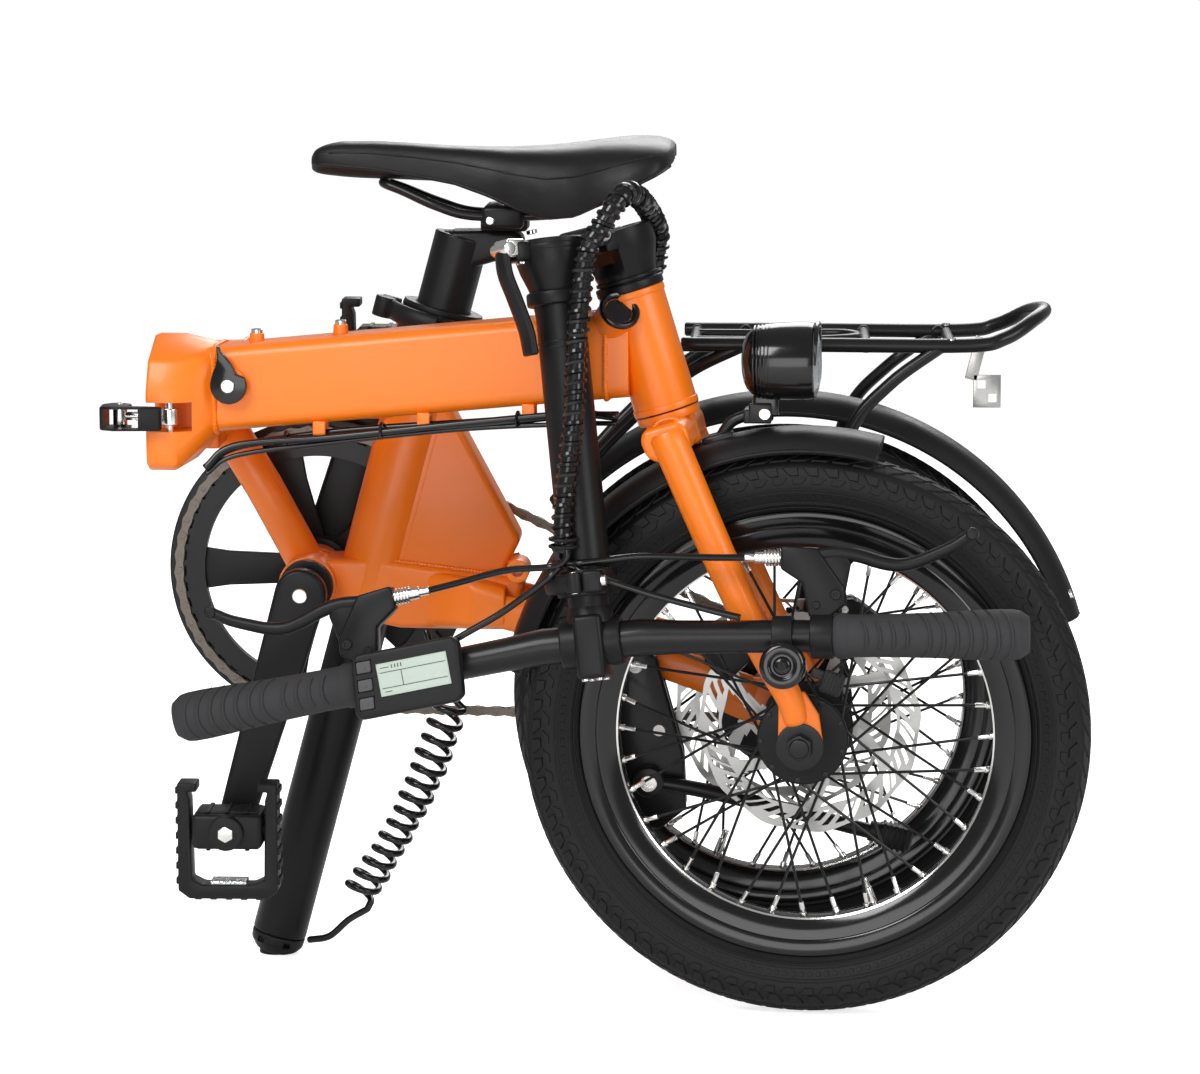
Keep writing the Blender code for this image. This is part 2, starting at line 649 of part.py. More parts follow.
def saddle():
    """Padded shell: narrow nose, wings dropping at the rear."""
    stations = [  # x, half width, crown height, edge height, underside height
        (-346, 5, 596, 590, 584), (-338, 15, 603, 592, 582), (-310, 20, 606, 591, 581), (-270, 22, 604, 587, 580),
        (-230, 27, 602, 581, 578), (-195, 40, 602, 571, 577), (-165, 55, 604, 563, 577), (-135, 67, 607, 569, 580),
        (-108, 73, 609, 581, 586), (-90, 66, 607, 590, 591), (-81, 44, 603, 595, 594)]
    rings = []
    for x, w, top, edge, under in stations:
        right = [(0, top), (w * 0.45, top - 1), (w * 0.8, top - 0.22 * (top - edge)), (w, top - 0.62 * (top - edge)),
                 (w * 0.97, edge), (w * 0.86, edge + 1.5), (w * 0.55, under)]
        ring = right + [(0, under)] + [(-y, z) for y, z in reversed(right[1:])]
        rings.append(at_x(x, ring))
    return loft(rings)


# ---------------------------------------------------------------- drive
def crank_blade(direction, y0, y1):
    """A tapered arm from the bottom bracket to its pedal."""
    end = direction * CRANK_LEN
    d = direction
    n = Vector((-d.z, 0, d.x))
    pts = []
    for centre, r, sign in ((Vector((0, 0, 0)), 19.0, -1), (end, 13.0, 1)):
        for k in range(9):
            a = math.pi * (k / 8 - 0.5)
            pts.append(centre + (d * sign) * r * math.cos(a) + (n * sign) * r * math.sin(a))
    return xz_plate([(BB_X + p.x, BB_Z + p.z) for p in pts], min(y0, y1), max(y0, y1))


def crank_dir(side):
    """Direction of an arm: the left one hangs down, the right one points up."""
    down = Vector((-math.sin(CRANK_LEAN), 0, -math.cos(CRANK_LEAN)))
    return down if side < 0 else -down


def pedal_centre(side):
    return Vector((BB_X, 0, BB_Z)) + crank_dir(side) * CRANK_LEN


def crank_left():
    arm = crank_blade(crank_dir(-1), -80, -66)
    boss = rod((BB_X, -66.5, BB_Z), (BB_X, -54, BB_Z), 15.0, 24)
    c = pedal_centre(-1)
    spindle_hole = rod((BB_X, -90, BB_Z), (BB_X, -40, BB_Z), 9.3, 24)
    eye = rod((c.x, -90, c.z), (c.x, -60, c.z), 6.1, 20)
    return cut(fuse(arm, boss), spindle_hole, eye)


def crank_right():
    """Right arm, spider and spindle, forged and pressed together."""
    arm = crank_blade(crank_dir(1), 66, 80)
    spindle = rod((BB_X, -78, BB_Z), (BB_X, 67, BB_Z), 9.0, 24)
    boss = rod((BB_X, 46, BB_Z), (BB_X, 67, BB_Z), 24.0, 28)
    arms = []
    for k in range(5):
        a = math.radians(36 + 72 * k)
        r = 84.0 - GAP / MM
        out, n = Vector((math.cos(a), 0, math.sin(a))), Vector((-math.sin(a), 0, math.cos(a)))
        pts = [out * 16 + n * 11, out * r * 0.8 + n * 13, out * (r - 1.2) + n * 16, out * (r - 1.2) - n * 16,
               out * r * 0.8 - n * 13, out * 16 - n * 11]
        arms.append(xz_plate([(BB_X + p.x, BB_Z + p.z) for p in pts], 47, 51.5))
    c = pedal_centre(1)
    eye = rod((c.x, 60, c.z), (c.x, 90, c.z), 6.1, 20)
    return cut(fuse(boss, arm, spindle, *arms), eye)


def chainring():
    """Toothed ring and outer chain guard, bolted to the spider's five tips."""
    prof = [(RING_R, 43.5), (RING_R, 46.5), (93, 46.5), (93, 50.4), (GUARD_R, 50.4), (GUARD_R, 52.6), (85.5, 52.6),
            (85.5, 43.5)]
    return lathe(prof, (BB_X, 0, BB_Z), (0, 1, 0), 52)


def sprocket():
    return lathe([(COG_R, 43.5), (COG_R, 46.5), (19, 46.5), (19, 52), (6.6, 52), (6.6, 41), (19, 41), (19, 43.5)],
                 (0, 0, AXLE_Z), (0, 1, 0), 28)


def pedal_block(side):
    """Pedal bearing housing on its spindle, with pivot bores for the cage."""
    c = pedal_centre(side)
    spindle = rod((c.x, side * 67, c.z), (c.x, side * 100, c.z), 5.6, 20)
    shoulder = rod((c.x, side * (80 + GAP / MM), c.z), (c.x, side * 93, c.z), 9.0, 20)
    body = block((50, 40, 25), (c.x, side * (PEDAL_Y + 21), c.z), chamfer=3.0)
    cap = rod((c.x, side * 130, c.z), (c.x, side * 139, c.z), 12.5, 24)
    bores = rod((c.x - 40, side * PEDAL_AXIS_Y, c.z), (c.x + 40, side * PEDAL_AXIS_Y, c.z), 3.4, 16)
    return cut(fuse(body, spindle, shoulder, cap), bores)


def pedal_cage(side):
    """Folding platform: two side rails, a foot bar, hooked tips and two pivot pins."""
    c = pedal_centre(side)
    y0, y1 = side * (PEDAL_AXIS_Y - 10), side * (PEDAL_AXIS_Y + 10)
    pts = [(-36, -44), (-28, -50), (28, -50), (36, -44), (36, 34.5), (22, 34.5), (22, 28), (29, 28), (27, 22),
           (26, -36), (18, -40), (-18, -40), (-26, -36), (-27, 22), (-29, 28), (-22, 28), (-22, 34.5), (-36, 34.5)]
    cage = xz_plate([(c.x + x, c.z + z) for x, z in pts], min(y0, y1), max(y0, y1))
    pins = [rod((c.x + s * 30, side * PEDAL_AXIS_Y, c.z), (c.x + s * 14, side * PEDAL_AXIS_Y, c.z), 3.0, 16)
            for s in (1, -1)]
    notches = [block((8, 50, 5), (c.x + s * 37.5, side * PEDAL_AXIS_Y, c.z + z))
               for s in (1, -1) for z in (-30, -12, 6)]
    return cut(fuse(cage, *pins), *notches)


# ---------------------------------------------------------------- front half
def front_casting():
    face = hinge_face(HINGE_Z0, HINGE_Z1, 42, 8)
    body = loft([at_x(HINGE_X - GAP / MM, face), at_x(HINGE_X - 22, face),
                 at_x(HINGE_X - 46, rounded_box(25, 408.8, 468.8, 10))])
    return fuse(body, knuckle(405, 441, -1))


def front_frame():
    beam = loft([at_x(HINGE_X - 40, rounded_box(24.6, 408.2, 468.2, 10)),
                 at_x(-778, rounded_box(24.8, 437, 497.5, 10))])
    head = rod(on_steer(-43.6), on_steer(41.6), HEAD_R, 32)
    bosses = [rod((x, 0, z), (x, 0, z + 9), 5.0, 12) for x, z in ((-512, 468), (-572, 475))]
    port = tube([on_steer(16, -8, 4), on_steer(36, -26, 27.0)], 13.0, 20)
    teardrop_boss = rod((-498, 20, 443), (-498, 28.6, 443), 12.0, 20)
    frame = fuse(front_casting(), beam, head, port, teardrop_boss, *bosses)
    bore = rod(on_steer(-70), on_steer(70), 16.3, 28)
    pin_hole = rod((HINGE_X, HINGE_Y, 370), (HINGE_X, HINGE_Y, 490), 4.0, 20)
    slot = block((40, 50, 20.5), (HINGE_X - 12, 36, 421))
    pin_bore = rod((-456, 33, 395), (-456, 33, 447), 3.3, 16)
    return cut(frame, bore, pin_hole, slot, pin_bore)


def latch_bolt():
    """Eye bolt on a vertical pin; it swings across to the other casting to close the frame."""
    pin = rod((-456, 33, 396.5), (-456, 33, 446), 2.9, 16)
    eye = rod((-456, 33, 415), (-456, 33, 427), 6.5, 20)
    shank = rod((-456, 33, 421), (-425, 35, 421), 3.0, 12)
    head = rod((-421, 35, 414.5), (-421, 35, 427.5), 5.0, 16)
    return fuse(pin, eye, shank, head)


def latch_lever():
    """Cam lever on the eye bolt's head, lying folded in the slot."""
    outline = [(-413, 28), (-408, 36), (-410, 52), (-420, 57), (-453, 52), (-454, 47), (-432, 45.5), (-428, 40),
               (-429, 31), (-421, 26)]
    bm = bmesh.new()
    low = [bm.verts.new((x, y, 412.5)) for x, y in outline]
    high = [bm.verts.new((x, y, 429.5)) for x, y in outline]
    bm.faces.new(low)
    bm.faces.new(high)
    for i in range(len(outline)):
        j = (i + 1) % len(outline)
        bm.faces.new((low[i], low[j], high[j], high[i]))
    body = raw(bm)
    fork_gap = block((26, 50, 13.8), (-425, 38, 421))
    return cut(body, fork_gap)


def port_cover():
    """Teardrop cover that turns aside on one bolt."""
    pts = []
    for k in range(15):
        a = math.radians(60 + 285 * k / 14 + 5)
        pts.append((13.0 * math.cos(a), 13.0 * math.sin(a)))
    tip = [(8.5, 14), (7.5, 27)]
    outline = [(-498 + x, 443 + z) for x, z in tip + pts[1:]]
    plate_body = xz_plate(outline, 29.2, 34.0)
    bolt = rod((-498, 33.0, 443), (-498, 36.5, 443), 4.6, 16)
    return fuse(plate_body, bolt)


def cable_loom():
    """The bundle of hoses and wires along the beam's underside."""
    path = smooth_path([(-481, 30, 385), (-502, 24, 400), (-570, 18, 409), (-660, 18, 418), (-738, 18, 425.5),
                        (-770, 20, 424)], 4)
    return tube(path, 5.5, 10)


# ---------------------------------------------------------------- fork and front wheel
def fork():
    steerer = rod(on_steer(-52), on_steer(48), 14.0, 28)
    race = rod(on_steer(-51.5), on_steer(-44.8), 21.5, 32)
    crown_lug = rod(on_steer(-72), on_steer(-49), 17.5, 28)
    crown = loft([[tuple(on_steer(t, f, y)) for t, f in ((-50, -13), (-50, 12), (-56, 17), (-70, 16), (-74, 8),
                                                          (-74, -10), (-68, -16), (-56, -17))] for y in (-56.0, 56.0)])
    parts = [race, crown_lug, crown]
    for s in (1, -1):
        path = smooth_path([tuple(on_steer(-58, 2, s * 53)), (-845, s * 53, 331), (-874, s * 53.5, 270),
                            (-893, s * 52.5, 235), (-898, s * 51, 218)], 4)
        n = len(path)
        radii = [12.6 - 4.4 * i / (n - 1) for i in range(n)]
        parts.append(tube(path, radii, 14, flat=0.92, side=(1, 0, 0)))
        ring = [(-WHEELBASE + 16 * math.cos(math.radians(a)), AXLE_Z + 16 * math.sin(math.radians(a)))
                for a in range(-190, 20, 22)]
        drop = [(-886, 226), (-884, 238), (-904, 238), (-914, 222)] + ring
        parts.append(xz_plate(drop, *sorted((s * FRONT_DROP_IN, s * FRONT_DROP_OUT))))
    body = fuse(steerer, *parts)
    hole = rod((-WHEELBASE, -70, AXLE_Z), (-WHEELBASE, 70, AXLE_Z), AXLE_R, 20)
    return cut(body, hole)


def front_fender_set():
    """Front mudguard with the bracket that ties it under the crown."""
    guard = fender(-WHEELBASE, 12, 104, 217.0, 15)
    bracket = block((22, 16, 16), (-840, 0, 403), (1, 0, -0.3), (0.3, 0, 1), 1.5)
    return fuse(guard, bracket, lamp_bracket())


def headlight():
    """Lamp body: a blunt capsule facing forward, with its tilting foot."""
    shell = lathe([(0, 0), (15, 1), (23, 7), (26.5, 18), (27.5, 40), (26.5, 51), (24.5, 51), (24.5, 46), (0, 46)],
                  (-855, 0, 461), (-1, 0, 0.02), 32)
    foot = block((18, 10, 16), (-872, 0, 431), chamfer=1.5)
    pin = rod((-872, -10.5, 426), (-872, 10.5, 426), 3.0, 16)
    return fuse(shell, foot, pin)


def headlight_lens():
    return lathe([(0, 46 + GAP / MM), (24.1, 46 + GAP / MM), (24.1, 51), (12, 54.5), (0, 55.5)],
                 (-855, 0, 461), (-1, 0, 0.02), 32)


def lamp_bracket():
    """Strap from the crown to the lamp's pivot."""
    arm = tube([(-838, 0, 404), (-847, 0, 418), (-859, 0, 424)], 4.0, 10)
    ears = [block((16, 4, 14), (-868.5, s * 8.6, 426), chamfer=0.8) for s in (1, -1)]
    web = block((5, 21, 10), (-859.5, 0, 424))
    holes = rod((-872, -20, 426), (-872, 20, 426), 3.35, 16)
    return cut(fuse(arm, *ears, web), holes)


# ---------------------------------------------------------------- handlepost
def stem_plane(a, b, t):
    """A point near the handlepost hinge: a toward its pin, b along the pin, t above the mating plane."""
    return STEER_PT + STEER_DIR * (STEM_T + t) + STEM_SIDE * a + STEM_AXIS * b


def stem_ring(scale, t, count=20, round_r=None):
    ring = []
    for k in range(count):
        a = 2 * math.pi * k / count
        if round_r is None:
            r = stem_reach(a) * scale
        else:
            r = round_r
        ring.append(tuple(stem_plane(r * math.cos(a), r * math.sin(a), t)))
    return ring


def stem_reach(a):
    """Radius of the casting's outline in the direction a."""
    c = math.cos(a)
    flat = 17.0 / c if c > 0.2 else 1e9
    return min(27.5, flat)


def stem_knuckle(b0, b1, up):
    barrel = rod(stem_plane(STEM_OFF, b0, 0), stem_plane(STEM_OFF, b1, 0), 7.6, 20)
    t0, t1 = (0.4 + GAP / MM, 12.6) if up else (-12.6, -0.4 - GAP / MM)
    arm = block((STEM_OFF - 8, b1 - b0 - 0.8, t1 - t0), stem_plane((STEM_OFF + 8) / 2, (b0 + b1) / 2, (t0 + t1) / 2),
                STEM_SIDE, STEER_DIR)
    return fuse(barrel, arm)


def stem_base():
    """Lower handlepost casting on the steerer, with the upper headset cap."""
    body = loft([stem_ring(1, -43.6, round_r=20.5), stem_ring(1, -36, round_r=20.5), stem_ring(1, -14),
                 stem_ring(1, -GAP / MM)])
    body = fuse(body, stem_knuckle(-23, -9.3, False), stem_knuckle(9.3, 23, False))
    bore = rod(on_steer(20), on_steer(49), 14.4, 28)
    pin = rod(stem_plane(STEM_OFF, -23.8, 0), stem_plane(STEM_OFF, 23.8, 0), 3.0, 16)
    return fuse(cut(body, bore), pin)


def handlepost():
    """Upper casting and outer post, with the height clamp ring at its end."""
    body = loft([stem_ring(1, GAP / MM), stem_ring(1, 13), stem_ring(1, 34, round_r=20.0),
                 stem_ring(1, 52, round_r=17.2), stem_ring(1, 245, round_r=17.2)])
    ring = rod(on_steer(STEM_T + 228), on_steer(STEM_T + 246), 21.0, 28)
    ear = block((18, 13, 15), on_steer(STEM_T + 237, 22, 8), STEER_FWD, STEER_DIR, 1.0)
    hook = block((13, 18, 14), stem_plane(-31, 0, 8), STEM_SIDE, STEER_DIR, 1.5)
    body = fuse(body, stem_knuckle(-8.95, 8.95, True), ring, ear, hook)
    bore = rod(on_steer(STEM_T + 60), on_steer(STEM_T + 260), 14.65, 28)
    pin = rod(stem_plane(STEM_OFF, -42, 0.05), stem_plane(STEM_OFF, 41, 0.05), 3.5, 18)
    return cut(body, bore, pin)


def stem_latch():
    """Lever that locks the handlepost upright, lying along the post."""
    pts = [stem_plane(-43, 0, 5), stem_plane(-43, 0, 22), stem_plane(-37, 0, 40), stem_plane(-30, 0, 62),
           stem_plane(-28, 0, 78)]
    blade = tube(smooth_path([tuple(p) for p in pts], 3), 4.2, 10, flat=1.8, side=tuple(STEM_SIDE))
    barrel = rod(stem_plane(-43, -9, 6), stem_plane(-43, 9, 6), 4.4, 16)
    return fuse(blade, barrel)


def post_lever():
    """Cam lever of the height clamp."""
    t = STEM_T + 237
    path = [on_steer(t, 28, -5), on_steer(t, 22, -15), on_steer(t, 10, -23.5), on_steer(t, -8, -27),
            on_steer(t, -22, -24)]
    blade = tube(smooth_path([tuple(p) for p in path], 3), 3.4, 10, flat=1.9, side=tuple(STEER_FWD))
    eye = rod(on_steer(t - 7, 28, -4.4), on_steer(t + 7, 28, -4.4), 5.2, 20)
    return fuse(blade, eye)


def inner_post():
    """Sliding post with the T shaped clamp that holds the handlebar."""
    post = rod(on_steer(STEM_T + 70), on_steer(BAR_T - 6), 14.3, 28)
    neck = lathe([(0, 0), (13.6, 0), (17.6, 13.4), (0, 13.4)], on_steer(BAR_T - 26), STEER_DIR, 28)
    tee = rod(on_steer(BAR_T, 0, -21), on_steer(BAR_T, 0, 21), 17.0, 28)
    latch = block((40, 19, 44), on_steer(BAR_T + 3, 1, 0), STEER_FWD, STEER_DIR, 2.5)
    bore = tube([on_steer(BAR_T, 0, -60), on_steer(BAR_T, 0, 60)], 13.6, 28, side=tuple(STEER_DIR))
    return cut(fuse(post, neck, tee, latch), bore)


def bar_point(y, down=0.0, fwd=0.0):
    """A point by the handlebar: down is toward the hinge, fwd is toward the rider's front."""
    rise = 0.0 if abs(y) < 34 else (abs(y) - 34) * 0.093
    return on_steer(BAR_T + rise - down, fwd, y)


def handlebar():
    ys = [-BAR_HALF, -160, -60, -34, -22, 0, 22, 34, 60, 160, BAR_HALF]
    radii = [11.1, 11.1, 11.6, 12.6, 12.7, 12.7, 12.7, 12.6, 11.6, 11.1, 11.1]
    return tube([bar_point(y) for y in ys], radii, 20, side=tuple(STEER_DIR))


def grip(s):
    """Rubber grip with a flared palm rest."""
    ys = [168, 171, 190, 230, 262, 282, 291 + 3]
    radii = [14.2, 15.0, 14.6, 15.4, 17.0, 17.4, 15.4]
    body = tube([bar_point(s * y) for y in ys], radii, 16, side=tuple(STEER_DIR))
    hole = tube([bar_point(s * y) for y in (150, BAR_HALF + GAP / MM)], 11.1 + GAP / MM, 20, side=tuple(STEER_DIR))
    return cut(body, hole)


def brake_mount(s):
    """Clamp, lever bracket and cable adjuster."""
    band = sleeve(bar_point(s * 150), bar_point(s * 165.5), 15.5, 11.6, 24)
    arm = loft([[tuple(bar_point(s * y, d, f)) for y, d in ((150, 13), (165, 13), (176, 22), (176, 33), (160, 60),
                                                            (136, 62), (134, 46), (148, 36))] for f in (-8.0, 6.0)])
    adjuster = rod(bar_point(s * 136, 54, -1), bar_point(s * 119, 54, -1), 6.0, 14)
    body = fuse(band, arm, adjuster)
    room = lever_room(s)
    pin_hole = rod(bar_point(s * 170, 28, -12), bar_point(s * 170, 28, 10), 2.7, 12)
    hole = tube([bar_point(s * y) for y in (140, 176)], 11.1 + GAP / MM, 20, side=tuple(STEER_DIR))
    return cut(body, room, hole, pin_hole)


def lever_room(s):
    """The slot in which the brake lever turns."""
    return loft([[tuple(bar_point(s * y, d, f)) for y, d in ((162, 18), (190, 10), (190, 80), (146, 80), (146, 50),
                                                             (156, 40))] for f in (-5.2, 3.2)])


def brake_lever(s):
    """Blade lever with a hooked tip, pivoting in the bracket."""
    path = [bar_point(s * 158, 56, -1), bar_point(s * 176, 56, -1), bar_point(s * 186, 48, -1),
            bar_point(s * 202, 43, -1), bar_point(s * 236, 43, -1), bar_point(s * 256, 47, -1),
            bar_point(s * 267, 55, -1)]
    blade = tube(smooth_path([tuple(p) for p in path], 2), 3.1, 10, flat=1.5, side=tuple(STEER_FWD))
    root = loft([[tuple(bar_point(s * y, d, f)) for y, d in ((164, 26), (170, 22), (175, 26), (182, 50), (176, 60),
                                                             (158, 59), (158, 50))] for f in (-4.4, 2.4)])
    pin = rod(bar_point(s * 170, 28, -7.4), bar_point(s * 170, 28, 5.4), 2.2, 12)
    return fuse(root, blade, pin)


def display():
    """Handlebar computer: housing, screen recess and strap; its three keys are separate."""
    body = loft([[tuple(bar_point(y, d, f)) for y, d in ((-164, 14), (-160, 19), (-92, 19), (-88, 14), (-88, -22),
                                                         (-93, -26), (-160, -26), (-164, -22))]
                 for f in (16.2, 29.0)])
    strap = rod(bar_point(-146), bar_point(-134), 14.8, 24)
    web = block((12, 10, 14), bar_point(-140, 0, 14), Y, STEER_DIR)
    hole = tube([bar_point(-175), bar_point(-110)], 11.9, 20, side=tuple(STEER_DIR))
    screen = loft([[tuple(bar_point(y, d, f)) for y, d in ((-146, 9), (-97, 12), (-97, -18), (-146, -20))]
                   for f in (28.2, 32.0)])
    wells = [key_block(i, 0.35, 24.4, 32.0) for i in range(3)]
    return cut(fuse(body, strap, web), hole, screen, *wells)


def key_block(i, grow, f0, f1):
    d = 9.5 - 12.5 * i
    y0, y1 = -160 - grow, -150 + grow
    return loft([[tuple(bar_point(y, e, f)) for y, e in ((y0, d + 4 + grow), (y1, d + 4 + grow), (y1, d - 4 - grow),
                                                         (y0, d - 4 - grow))] for f in (f0, f1)])


def bell():
    """Bell dome on a band round the handlebar."""
    band = sleeve(bar_point(124), bar_point(138), 14.0, 11.1 + GAP / MM, 24)
    post = rod(bar_point(131, -9, 8), bar_point(131, -15, 16), 5.0, 14)
    dome = lathe([(0, 0), (12, 0), (15.8, 3), (15.8, 8), (12, 12.5), (7, 13.4), (0, 13.4)],
                 bar_point(131, -20, 14), STEER_FWD, 28)
    hole = tube([bar_point(y) for y in (110, 150)], 11.1 + GAP / MM, 20, side=tuple(STEER_DIR))
    return cut(fuse(band, post, dome), hole)


def bell_lever():
    """Ribbed thumb lever at the bell's rim."""
    arm = block((16, 7, 5), bar_point(157, -27, 16), (Y - STEER_DIR * -0.5).normalized(), STEER_FWD)
    pad = block((15, 16, 9), bar_point(163, -31, 17), (Y - STEER_DIR * -0.5).normalized(), STEER_FWD, 1.0)
    return fuse(arm, pad)


# ---------------------------------------------------------------- assembly
def make_materials():
    material("orange_paint", (0.90, 0.23, 0.012), 0.34)
    material("black_paint", (0.022, 0.022, 0.024), 0.42)
    material("black_anodised", (0.03, 0.03, 0.032), 0.38, 0.5)
    material("black_plastic", (0.02, 0.02, 0.021), 0.55)
    material("tyre_rubber", (0.018, 0.018, 0.019), 0.85)
    material("grip_rubber", (0.075, 0.075, 0.078), 0.85)
    material("saddle_cover", (0.02, 0.02, 0.021), 0.6)
    material("steel", (0.55, 0.54, 0.52), 0.35, 1.0)
    material("chain_steel", (0.2, 0.17, 0.14), 0.5, 0.9)
    material("lens", (0.75, 0.78, 0.8), 0.1)
    material("key_grey", (0.09, 0.09, 0.1), 0.6)


def build():
    clear_scene()
    make_materials()
    base = pivot("bicycle", None, (0, 0, 0), (0, 0, 1))
    base.location = (SHIFT_X * MM, SHIFT_Y * MM, 0)
    build_rear(base)
    fold = pivot("main_fold", base, (HINGE_X, HINGE_Y, 420), (0, 0, 1), math.pi - FOLD_GAP)
    build_front(fold)


def build_rear(base):
    node(rear_frame(), "rear_frame", base, "orange_paint")
    node(hinge_pin(), "hinge_pin", base, "steel")
    node(seat_collar(), "seat_collar", base, "black_anodised")
    node(fender(0, 16, 140, 225.0, 20), "rear_fender", base, "black_plastic")
    node(rear_rack(), "rear_rack", base, "black_paint")
    node(axle(0, REAR_DROP_OUT, REAR_DROP_OUT, REAR_NUT_END), "rear_axle", base, "black_paint")
    node(caliper((50, REAR_ROTOR_Y + 1, 260), math.radians(-38), (40, 25, 30), REAR_ROTOR_Y), "rear_caliper", base,
         "black_anodised")
    node(chain(), "chain", base, "chain_steel")
    node(coil_cable(), "coil_cable", base, "black_plastic")
    stand = pivot("kickstand_turn", base, (-97, -80, 150), (0, 1, 0))
    node(kickstand_leg(), "kickstand_leg", stand, "black_paint")
    slide = pivot("seatpost_slide", base, on_post(300), POST_DIR)
    node(seatpost(), "seatpost", slide, "black_anodised")
    node(seatpost_foot(), "seatpost_foot", slide, "black_plastic")
    node(saddle_rails(), "saddle_rails", slide, "black_paint")
    node(saddle(), "saddle", slide, "saddle_cover")
    cam = pivot("seat_lever_turn", base, on_post(SEAT_TUBE_TOP + 4, 42, -4), POST_DIR)
    node(seat_lever(), "seat_lever", cam, "black_anodised")
    build_drive(base)
    spin = pivot("rear_wheel_spin", base, (0, 0, AXLE_Z), (0, 1, 0))
    node(tyre(0), "rear_tyre", spin, "tyre_rubber")
    node(make_rim(0), "rear_rim", spin, "black_paint")
    node(hub_and_spokes(0, 50, 27, 46, 38, 6.3), "rear_hub", spin, "black_anodised")
    node(rotor(0, REAR_ROTOR_Y, 14.0), "rear_rotor", spin, "steel")


def build_drive(base):
    turn = pivot("crank_turn", base, (BB_X, 0, BB_Z), (0, 1, 0))
    node(crank_left(), "crank_left", turn, "black_anodised")
    node(crank_right(), "crank_right", turn, "black_anodised")
    node(chainring(), "chainring", turn, "black_paint")
    cog = pivot("sprocket_spin", base, (0, 0, AXLE_Z), (0, 1, 0))
    node(sprocket(), "sprocket", cog, "chain_steel")
    for s, side in ((-1, "left"), (1, "right")):
        c = pedal_centre(s)
        spin = pivot(f"pedal_{side}_spin", turn, (c.x, s * 110, c.z), (0, 1, 0))
        node(pedal_block(s), f"pedal_{side}_block", spin, "black_plastic")
        flap = pivot(f"pedal_{side}_fold", spin, (c.x, s * PEDAL_AXIS_Y, c.z), (1, 0, 0))
        node(pedal_cage(s), f"pedal_{side}_cage", flap, "black_plastic")


def build_front(fold):
    node(front_frame(), "front_frame", fold, "orange_paint")
    node(cable_loom(), "cable_loom", fold, "black_plastic")
    swing = pivot("latch_bolt_swing", fold, (-456, 33, 421), (0, 0, 1))
    node(latch_bolt(), "latch_bolt", swing, "steel")
    lever = pivot("latch_lever_swing", swing, (-421, 35, 421), (0, 0, 1))
    node(latch_lever(), "latch_lever", lever, "black_anodised")
    cover = pivot("port_cover_turn", fold, (-498, 32, 443), (0, 1, 0))
    node(port_cover(), "port_cover", cover, "black_plastic")
    steer = pivot("steering", fold, on_steer(0), STEER_DIR)
    node(fork(), "fork", steer, "orange_paint")
    node(front_fender_set(), "front_fender", steer, "black_plastic")
    node(axle(-WHEELBASE, FRONT_DROP_OUT, FRONT_DROP_OUT, FRONT_NUT_END), "front_axle", steer, "black_paint")
    node(caliper((-846, FRONT_ROTOR_Y + 0.5, 252), math.radians(-46), (38, 25, 28), FRONT_ROTOR_Y), "front_caliper",
         steer, "black_anodised")
    node(stem_base(), "stem_base", steer, "black_anodised")
    tilt = pivot("headlight_tilt", steer, (-872, 0, 426), (0, 1, 0))
    node(headlight(), "headlight", tilt, "black_plastic")
    node(headlight_lens(), "headlight_lens", tilt, "lens")
    spin = pivot("front_wheel_spin", steer, (-WHEELBASE, 0, AXLE_Z), (0, 1, 0))
    node(tyre(-WHEELBASE), "front_tyre", spin, "tyre_rubber")
    node(make_rim(-WHEELBASE), "front_rim", spin, "black_paint")
    node(hub_and_spokes(-WHEELBASE, 32, 26, 17, 32, 6.3), "front_hub", spin, "black_anodised")
    node(rotor(-WHEELBASE, FRONT_ROTOR_Y, 12.0), "front_rotor", spin, "steel")
    build_handlepost(steer)


def build_handlepost(steer):
    fold = pivot("handlepost_fold", steer, stem_plane(STEM_OFF, 0, 0), STEM_AXIS, stem_angle())
    node(handlepost(), "handlepost", fold, "black_anodised")
    latch = pivot("stem_latch_turn", fold, stem_plane(-43, 0, 6), STEM_AXIS)
    node(stem_latch(), "stem_latch", latch, "steel")
    cam = pivot("post_lever_turn", fold, on_steer(STEM_T + 237, 28, -4.4), STEER_DIR)
    node(post_lever(), "post_lever", cam, "black_anodised")
    slide = pivot("post_slide", fold, on_steer(BAR_T), STEER_DIR)
    node(inner_post(), "inner_post", slide, "black_anodised")
    roll = pivot("bar_roll", slide, on_steer(BAR_T), (0, 1, 0))
    node(handlebar(), "handlebar", roll, "black_anodised")
    for s, side in ((-1, "left"), (1, "right")):
        node(grip(s), f"grip_{side}", roll, "grip_rubber")
        node(brake_mount(s), f"brake_mount_{side}", roll, "black_anodised")
        pull = pivot(f"brake_{side}_pull", roll, bar_point(s * 170, 28, -1), STEER_FWD)
        node(brake_lever(s), f"brake_lever_{side}", pull, "black_anodised")
    node(display(), "display", roll, "black_plastic")
    for i, name in enumerate(("key_up", "key_mode", "key_down")):
        key = pivot(f"{name}_press", roll, bar_point(-155, 9.5 - 12.5 * i, 28), -STEER_FWD)
        node(key_block(i, 0.0, 26.6, 30.4), name, key, "key_grey")
    node(bell(), "bell", roll, "black_plastic")
    thumb = pivot("bell_lever_turn", roll, bar_point(131, -20, 18), STEER_FWD)
    node(bell_lever(), "bell_lever", thumb, "black_plastic")


def stem_angle():
    """Signed turn about the pin that swings the post over to the rider's right and down."""
    toward = STEM_AXIS.cross(STEER_DIR)
    return STEM_FOLD if toward.dot(STEM_SIDE) > 0 else -STEM_FOLD


build()
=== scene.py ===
"""Looks of the folded bicycle: fine meshes and procedural finishes over the CAD frame."""
import json
import math

import bmesh
import bpy
from mathutils import Matrix, Vector, noise


